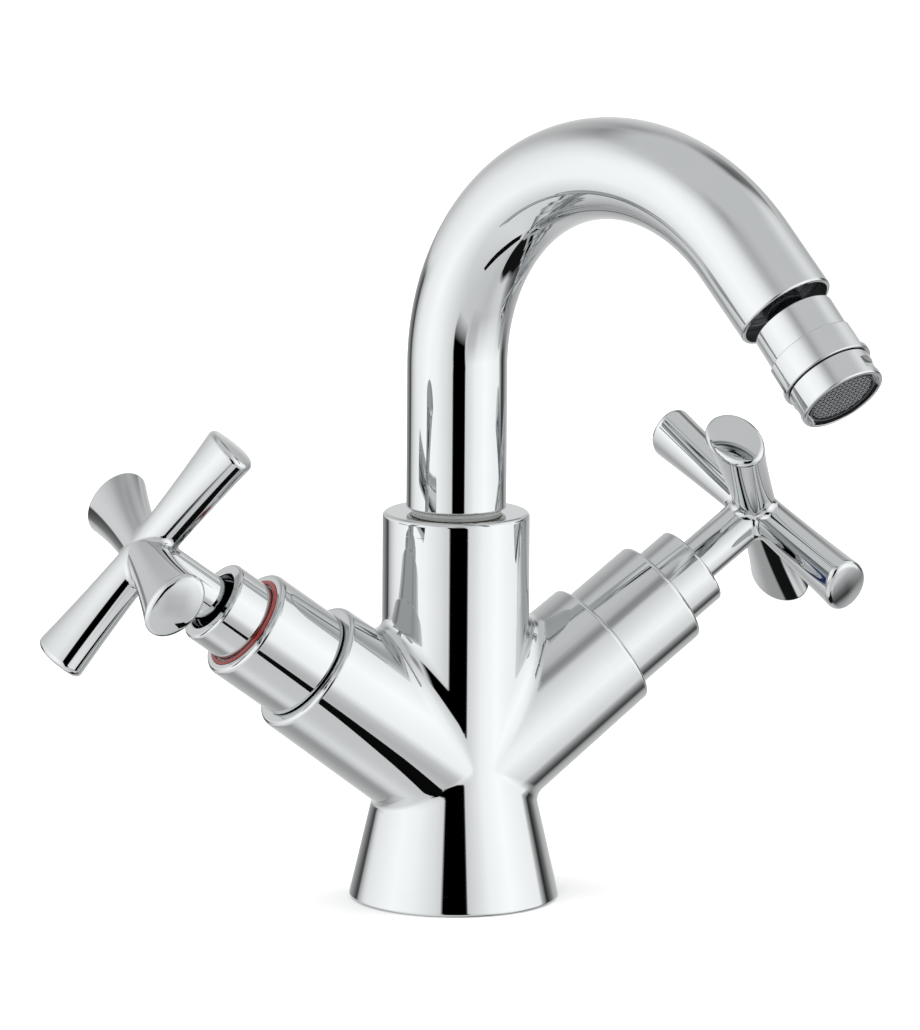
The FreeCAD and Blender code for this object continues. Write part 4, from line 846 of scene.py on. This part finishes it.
# %% [markdown]
# ## Turned rims
# The ends of arms, column and foot are faced on a lathe, with a small even round. A net of this step can't draw
# so small a round evenly, and a finer net would have too many faces. So turned rims lie over the net's ends, a
# hundredth of a millimetre proud. The foot's rim also has the groove of the gasket.

# %% Turned rims of arms, column and foot
HIDDEN, PROUD = 0.001, 0.01
GASKET_INSIDE, GASKET_OUTSIDE, GASKET_DEPTH = 19.5, 23.0, 2.5


def arm_wall(s):
    """The arm's radius at a distance along its axis, a trace proud."""
    return ARM_ROOT_RADIUS - math.tan(arm_taper) * s + PROUD


def rim(bore, low, low_radius, high, high_radius, edge):
    """A ring between two heights: sharp where it is hidden, rounded at the end that shows."""
    return rounded([
        (bore - PROUD, low, HIDDEN), (low_radius, low, HIDDEN), (high_radius, high, edge),
        (bore - PROUD, high, HOLE_EDGE)])


for side, valve in VALVE_FRAME.items():
    turned("mixer_body", valve, rim(
        VALVE_SEAT_RADIUS, ARM_RIM, arm_wall(ARM_RIM), ARM_LENGTH, arm_wall(ARM_LENGTH), ARM_EDGE),
        part=f"{side}_arm_rim")
turned("mixer_body", TAP_FRAME, rim(
    BUSH_SEAT_RADIUS, COLUMN_RIM, COLUMN_RADIUS + PROUD, COLUMN_HEIGHT, COLUMN_RADIUS + PROUD, COLUMN_EDGE),
    part="column_rim")
turned("mixer_body", TAP_FRAME, rounded([
    (CAVITY_RADIUS - PROUD, FOOT_RIM, HIDDEN), (CAVITY_RADIUS - PROUD, 0.0, HOLE_EDGE),
    (GASKET_INSIDE, 0.0, HOLE_EDGE), (GASKET_INSIDE, GASKET_DEPTH, HOLE_EDGE),
    (GASKET_OUTSIDE, GASKET_DEPTH, HOLE_EDGE), (GASKET_OUTSIDE, 0.0, HOLE_EDGE),
    (FOOT_RADIUS + PROUD, 0.0, FOOT_EDGE),
    (FOOT_RADIUS + PROUD - math.tan(flare) * FOOT_RIM, FOOT_RIM, HIDDEN)]), part="foot_rim")

# %% [markdown]
# ## Cross handles
# Four oval arms that widen towards domed ends, on a round stem. Along an arm, both half axes of the oval
# grow with the distance from the hub, the flat one faster. The ends lie on one sphere about the hub.

# %% Oval arms of the cross
OVAL_LENGTH = 36.2
HALF_WIDTH = (5.3, 1.2, 3.2)
HALF_HEIGHT = (4.8, 0.95, 0.5)
NEAR_AXIS = 1e-6


def growing(u, start, evenly, faster):
    """A half axis at share u of the arm, start + evenly times u + faster times u squared, and its slope."""
    return start + evenly * u + faster * u * u, (evenly + 2 * faster * u) / OVAL_LENGTH


def oval_arm(p, along, across):
    """Two opposite arms: an oval of half width w and half height h, both growing along the arm."""
    x, y, z = np.abs(p @ along), p @ across, p[:, 2]
    u = x / OVAL_LENGTH
    (w, dw), (h, dh) = growing(u, *HALF_WIDTH), growing(u, *HALF_HEIGHT)
    q = np.maximum(np.sqrt((y / w) ** 2 + (z / h) ** 2), NEAR_AXIS)
    slope_x = -(y * y * dw / w ** 3 + z * z * dh / h ** 3) / q * np.sign(p @ along)
    gradient = slope_x[:, None] * along + (y / (w * w * q))[:, None] * across + (z / (h * h * q))[:, None] * Z_AXIS
    steep = np.maximum(np.linalg.norm(gradient, axis=1), NEAR_AXIS)
    return (q - 1) / steep, gradient / steep[:, None]


print("half width grows from", HALF_WIDTH[0], "to", round(growing(1.0, *HALF_WIDTH)[0], 1), "mm")

# %% Cross handle, worked out for each side
CROSS_REACH, CROSS_BLEND, TIP_EDGE = 34.4, 1.8, 1.5
STEM_RADIUS, STEM_START, STEM_EDGE = 5.7, 75.2 - HUB_DISTANCE, 0.3
SOCKET_RADIUS, SOCKET_END = 3.95, 88.1 - HUB_DISTANCE
SCREW_HOLE_RADIUS, SCREW_PLACE = 1.95, 84.5 - HUB_DISTANCE
DRILLED_EDGE = 0.2
CROSS_STEP, BOX_REACH, BOX_TOP, BOX_MARGIN = 0.4, 36.0, 8.0, 1.2


def cross_field(p, back):
    """Arms joined crosswise, cut by the sphere of the tips, with the stem and its two holes."""
    r = np.maximum(np.linalg.norm(p, axis=1), TINY)
    cross = join(oval_arm(p, X_AXIS, Y_AXIS), oval_arm(p, Y_AXIS, X_AXIS), CROSS_BLEND)
    cross = trim(cross, (r - CROSS_REACH, p / r[:, None]), TIP_EDGE)
    solid = join(cross, bar(p, np.zeros(3), Z_AXIS, STEM_RADIUS, STEM_START, 0.0, STEM_EDGE), CROSS_BLEND)
    socket = bar(p, np.zeros(3), Z_AXIS, SOCKET_RADIUS, STEM_START - 5, SOCKET_END, DRILLED_EDGE)
    screw = bar(p, SCREW_PLACE * Z_AXIS, back, SCREW_HOLE_RADIUS, 0.0, STEM_RADIUS + 3, DRILLED_EDGE)
    return trim(trim(solid, hollow(socket), DRILLED_EDGE), hollow(screw), DRILLED_EDGE)


for side, handle in HANDLE_FRAME.items():
    backwards = handle[0].T @ Y_AXIS
    points, faces, normals = net_over(
        lambda p: cross_field(p, backwards), (-BOX_REACH, -BOX_REACH, STEM_START - BOX_MARGIN),
        (BOX_REACH, BOX_REACH, BOX_TOP), CROSS_STEP)
    stand_for(f"{side}_cross_handle", to_tap(handle, points), faces, normals @ handle[0].T)

# %% [markdown]
# ## Camera
# The camera stands over two metres away with a long lens, so upright lines stay nearly parallel. Its place
# comes from fitting the tap's outline to the photograph.

# %% Camera at the photograph's angle
CAMERA_AZIMUTH, CAMERA_ELEVATION, CAMERA_ROLL = -23.6213, 10.4775, 0.3983
CAMERA_DISTANCE = 2139.738
PIXELS_PER_MM = 4.04372
IMAGE_WIDTH, IMAGE_HEIGHT = 920, 1030
ORIGIN_PIXEL = (453.654, 894.362)
SENSOR_HEIGHT, FURTHEST_SEEN = 24.0, 100.0

azimuth, slope, roll = (math.radians(v) for v in (CAMERA_AZIMUTH, CAMERA_ELEVATION, CAMERA_ROLL))
backward = np.array([
    math.sin(azimuth) * math.cos(slope), -math.cos(azimuth) * math.cos(slope), math.sin(slope)])
level = np.array([math.cos(azimuth), math.sin(azimuth), 0.0])
upright = np.cross(backward, level)
rightward = level * math.cos(roll) + upright * math.sin(roll)
upward = upright * math.cos(roll) - level * math.sin(roll)
view = np.stack([rightward, upward, backward])
origin_seen = np.array([(ORIGIN_PIXEL[0] - IMAGE_WIDTH / 2) / PIXELS_PER_MM,
                        -(ORIGIN_PIXEL[1] - IMAGE_HEIGHT / 2) / PIXELS_PER_MM, -CAMERA_DISTANCE])
camera_data = bpy.data.cameras.new("camera")
camera_data.sensor_fit = "VERTICAL"
camera_data.sensor_height = SENSOR_HEIGHT
camera_data.lens = PIXELS_PER_MM * CAMERA_DISTANCE * SENSOR_HEIGHT / IMAGE_HEIGHT
camera_data.clip_end = FURTHEST_SEEN
camera = bpy.data.objects.new("camera", camera_data)
matrix = np.eye(4)
matrix[:3, :3] = view.T
matrix[:3, 3] = -view.T @ origin_seen * MM
camera.matrix_world = matrix.T
bpy.context.scene.collection.objects.link(camera)
bpy.context.scene.camera = camera
print("camera at", np.round(matrix[:3, 3], 3), "m, lens", round(camera_data.lens, 1), "mm")

# %% [markdown]
# ## The room that the chrome mirrors
# Seen from the tap, the room is two tall white panels left and right of the camera, brightest in their
# middle. Under them lies a pale ground, above them a greyer cornice and a ceiling. Such a room could be built
# from lamps, but each lamp's edge then has to be found by trial. Here the light depends on two angles only,
# the bearing from the camera and the elevation, and each rule is a ramp of one of them.

# %% Brightness of panels, ground and cornice
PANELS = [
    # bearing from the camera in degrees, brightness
    (-180, 0.85), (-165, 0.75), (-150, 0.75), (-138, 0.93), (-126, 1.12), (-112, 1.3), (-72, 1.58), (-48, 1.47),
    (-24, 1.2), (-15, 1.05), (13, 0.95), (24, 1.12), (32, 1.25), (42, 1.45), (68, 1.62), (88, 1.5), (110, 1.4),
    (125, 1.25), (140, 1.05), (151, 0.9), (160, 0.8), (170, 0.85), (180, 0.85)]
GROUND = [
    (-180, 0.8), (-168, 0.7), (-156, 0.62), (-144, 0.5), (-132, 0.5), (-120, 0.72), (-105, 0.95), (-90, 1.05),
    (-60, 1.12), (-30, 1.02), (-5, 0.92), (16, 0.9), (34, 0.85), (44, 0.82), (55, 0.85), (75, 1.0), (91, 1.03),
    (100, 0.57), (113, 0.22), (119, 0.14), (124, 0.06), (128, 0.15), (134, 0.4), (141, 0.53), (156, 0.62),
    (168, 0.75), (180, 0.8)]
CORNICE = [
    (-180, 0.6), (-168, 0.47), (-156, 0.55), (-144, 0.38), (-132, 0.43), (-120, 0.55), (-108, 0.8), (-96, 0.92),
    (-70, 0.9), (-52, 0.82), (-42, 0.65), (-30, 0.52), (-16, 0.68), (8, 0.72), (20, 1.0), (90, 1.1), (125, 1.1),
    (134, 0.8), (142, 0.45), (160, 0.5), (170, 0.6), (180, 0.6)]
CEILING = 0.84
BRIGHTEST = 2.0
# elevation, how far each layer covers the one before it
TO_GROUND = [(-90, 1), (-40, 1), (-14, 0), (90, 0)]
TO_CORNICE = [(-90, 0), (15, 0), (24, 0.1), (32, 0.27), (40, 0.62), (50, 1), (90, 1)]
TO_CEILING = [(-90, 0), (47, 0), (60, 1), (90, 1)]
print("stops", len(PANELS), len(GROUND), len(CORNICE))

# %% [markdown]
# ## What is dark in the room
# The camera looks through a slot between the panels, which bends a little. A bar crosses above it, and the right
# panel stands on a greyer foot. Behind the tap stand a soft flag on the left and, on the right, a tall one in
# two parts: they draw the edges of the round shapes. On the right and behind, the ground is black below a
# certain elevation, for the undersides.

# %% Slot, bar, flags and black ground
SLOT_MOVES = [
    # elevation, how far the slot lies to the left of its middle place, in degrees
    (-90, 6), (-25, 6), (-12, 0), (15, 4), (90, 4)]
DARK = {
    # how dark by bearing, then how dark by elevation
    "slot": ([(-180, 0), (-10.6, 0), (-9.2, 1), (18.2, 1), (19.6, 0), (180, 0)],
             [(-90, 0), (-33, 0), (-22, 1), (18, 1), (27, 0), (90, 0)]),
    "bar": ([(-180, 0), (-6, 0), (1, 0.5), (12, 0.5), (22, 0), (180, 0)],
            [(-90, 0), (30, 0), (36, 1), (43, 1), (52, 0), (90, 0)]),
    "panel's foot": ([(-180, 0), (12, 0), (22, 0.22), (36, 0.22), (46, 0), (180, 0)],
                     [(-90, 0), (-44, 0), (-34, 1), (-24, 1), (-14, 0), (90, 0)]),
    "left flag": ([(-180, 0), (-172, 0.2), (-150, 0.55), (-142, 0.78), (-136, 0.92), (-133, 0.9), (-130, 0.5),
                   (-124, 0.27), (-115, 0.1), (-105, 0), (180, 0)],
                  [(-90, 0), (-18, 0), (-13, 1), (-1, 1), (1, 0), (90, 0)]),
    "right flag": ([(-180, 0), (111, 0), (115, 0.48), (120, 0.72), (124, 0.97), (127, 0.96), (131, 0.89), (137, 0.77),
                    (143, 0.5), (151, 0.3), (160, 0.18), (170, 0), (180, 0)],
                   [(-90, 0), (-36, 0), (-14, 1), (14, 1), (26, 0), (90, 0)]),
    "right flag's top": ([(-180, 0), (136, 0), (144, 0.65), (152, 0.65), (162, 0.2), (170, 0), (180, 0)],
                         [(-90, 0), (24, 0), (30, 1), (48, 1), (58, 0.2), (66, 0), (90, 0)]),
}
BLACK_BELOW = [
    # bearing, the elevation under which the ground is black
    (-180, -66), (-150, -68), (-125, -76), (-112, -90), (45, -90), (60, -66), (75, -61), (95, -62), (110, -56),
    (125, -58), (140, -66), (180, -66)]
BLACK_EDGE = 3.0
BLACK_GLOW = 0.01
print("dark", sorted(DARK))

# %% [markdown]
# ## Angles and ramps
# The world's shader is asked for the light in one direction. The bearing is the arc tangent of that direction's
# level parts, to the right and towards the camera, and the elevation is the arc sine of its height. A colour
# ramp then runs from stop to stop of a table. It holds 32 stops at most.

# %% Bearing, elevation and ramps of them
HALF_TURN, QUARTER_TURN = 180, 90

world = bpy.data.worlds.new("studio")
bpy.context.scene.world = world
world.use_nodes = True
tree = world.node_tree
direction = add_node(tree, "ShaderNodeTexCoord", {}).outputs["Generated"]
to_right = add_node(tree, "ShaderNodeVectorMath", {0: direction, 1: tuple(level)}, operation="DOT_PRODUCT")
to_camera = add_node(tree, "ShaderNodeVectorMath", {
    0: direction, 1: (math.sin(azimuth), -math.cos(azimuth), 0.0)}, operation="DOT_PRODUCT")
bearing = add_node(tree, "ShaderNodeMath", {
    0: to_right.outputs["Value"], 1: to_camera.outputs["Value"]}, operation="ARCTAN2").outputs[0]
height = add_node(tree, "ShaderNodeSeparateXYZ", {"Vector": direction}).outputs["Z"]
elevation = add_node(tree, "ShaderNodeMath", {0: height}, operation="ARCSINE").outputs[0]


def ramp_over(angle, limit, stops):
    """A value that runs straight from stop to stop, from nought to one, as the angle goes from -limit to limit."""
    share = add_node(tree, "ShaderNodeMapRange", {
        "Value": angle, "From Min": -math.radians(limit), "From Max": math.radians(limit)})
    ramp = add_node(tree, "ShaderNodeValToRGB", {"Fac": share.outputs["Result"]})
    elements = ramp.color_ramp.elements
    while len(elements) < len(stops):
        elements.new(0.5)
    for element, (degrees, value) in zip(elements, stops):
        element.position = (degrees + limit) / (2 * limit)
    for element, (degrees, value) in zip(elements, stops):
        element.color = (value, value, value, 1.0)
    return ramp.outputs["Color"]


def by_bearing(stops):
    """Light that changes with the bearing, as a share of the brightest."""
    return ramp_over(bearing, HALF_TURN, [(degrees, value / BRIGHTEST) for degrees, value in stops])


def by_elevation(stops):
    """A share that changes with the elevation."""
    return ramp_over(elevation, QUARTER_TURN, stops)


def blended(share, first, second):
    """The first light where the share is nought, the second where it is one."""
    return add_node(tree, "ShaderNodeMixRGB", {"Fac": share, "Color1": first, "Color2": second}).outputs["Color"]


def grey(value):
    """An even light."""
    return (value / BRIGHTEST,) * 3 + (1.0,)


# %% [markdown]
# ## Putting the room together
# Each layer covers the last by its own share: panels, ground, cornice and ceiling, then all that is dark. The
# slot is read at a bearing that moves with the elevation, which bends it. The black ground comes last, because
# its edge is an elevation that changes with the bearing.

# %% Light of the room
moves = by_elevation([(degrees, moved / QUARTER_TURN) for degrees, moved in SLOT_MOVES])
slot_bearing = add_node(tree, "ShaderNodeMath", {
    0: moves, 1: math.radians(QUARTER_TURN), 2: bearing}, operation="MULTIPLY_ADD").outputs[0]
glow = blended(by_elevation(TO_GROUND), by_bearing(PANELS), by_bearing(GROUND))
glow = blended(by_elevation(TO_CORNICE), glow, by_bearing(CORNICE))
glow = blended(by_elevation(TO_CEILING), glow, grey(CEILING))
for name, (across, upwards) in DARK.items():
    angle = slot_bearing if name == "slot" else bearing
    dark = add_node(tree, "ShaderNodeMath", {
        0: ramp_over(angle, HALF_TURN, across), 1: by_elevation(upwards)}, operation="MULTIPLY")
    glow = blended(dark.outputs[0], glow, grey(0.0))
edge = ramp_over(bearing, HALF_TURN, [
    (degrees, (lowest + QUARTER_TURN) / QUARTER_TURN) for degrees, lowest in BLACK_BELOW])
edge_angle = add_node(tree, "ShaderNodeMapRange", {
    "Value": edge, "To Min": -math.radians(QUARTER_TURN), "To Max": 0.0}).outputs["Result"]
under = add_node(tree, "ShaderNodeMath", {0: edge_angle, 1: elevation}, operation="SUBTRACT").outputs[0]
on_black = add_node(tree, "ShaderNodeMapRange", {
    "Value": under, "From Min": -math.radians(BLACK_EDGE), "From Max": math.radians(BLACK_EDGE)}).outputs["Result"]
glow = blended(on_black, glow, grey(BLACK_GLOW))
background = tree.nodes["Background"]
tree.links.new(glow, background.inputs["Color"])
background.inputs["Strength"].default_value = BRIGHTEST
print("room of", len(tree.nodes), "nodes")

# %% [markdown]
# ## Floor and soft light
# A plain pale floor, and a wide soft light above it. The chrome mirrors the room and neither of these, so
# that floor and light only set the white round the tap and the shade of the pieces that aren't chrome.

# %% Floor and overhead light
FLOOR_SIZE = 12.0
LIGHT_SIZE, LIGHT_HEIGHT, LIGHT_WATTS = 3.0, 2.2, 70.0
floor_mesh = bpy.data.meshes.new("floor")
half = FLOOR_SIZE / 2
floor_mesh.from_pydata([(-half, -half, 0), (half, -half, 0), (half, half, 0), (-half, half, 0)], [], [(0, 1, 2, 3)])
floor = bpy.data.objects.new("floor", floor_mesh)
bpy.context.scene.collection.objects.link(floor)
pale, _, shader, _ = new_finish("pale_floor")
shader.inputs["Base Color"].default_value = linear("f6f6f6")
shader.inputs["Roughness"].default_value = 0.8
floor_mesh.materials.append(pale)
floor.visible_glossy = False
light_data = bpy.data.lights.new("overhead", "AREA")
light_data.size = LIGHT_SIZE
light_data.energy = LIGHT_WATTS
overhead = bpy.data.objects.new("overhead", light_data)
overhead.location = (0.0, 0.0, LIGHT_HEIGHT)
overhead.visible_glossy = False
bpy.context.scene.collection.objects.link(overhead)
bpy.context.scene.view_settings.view_transform = "Standard"
print("floor", FLOOR_SIZE, "m, light", LIGHT_WATTS, "W")

# %% [markdown]
# ## A black card
# The dark line along the left arm widens towards the foot, so what it mirrors is near. It is drawn as a
# photographer would do it, with a narrow black card that lies in front of the tap. Only mirrored light meets it.

# %% Black card in front of the left arm
CARD = np.array([
    # corners on the floor in mm
    (-20, -28), (-33, -45), (-43, -60), (-56, -76), (-67, -91), (-76, -106), (-60, -108), (-45, -92), (-32, -76),
    (-20, -60), (-12, -45), (-6, -32)])
CARD_THICKNESS = 0.2
card_mesh = bpy.data.meshes.new("card")
card_mesh.from_pydata(
    np.column_stack([CARD, np.full(len(CARD), CARD_THICKNESS)]) * MM, [], [tuple(range(len(CARD)))])
card = bpy.data.objects.new("card", card_mesh)
bpy.context.scene.collection.objects.link(card)
dull, _, shader, _ = new_finish("black_card")
shader.inputs["Base Color"].default_value = linear("0a0a0a")
shader.inputs["Roughness"].default_value = 0.9
shader.inputs["Specular IOR Level"].default_value = 0.0
card_mesh.materials.append(dull)
card.visible_camera = card.visible_diffuse = card.visible_shadow = False
print("card of", len(CARD), "corners")
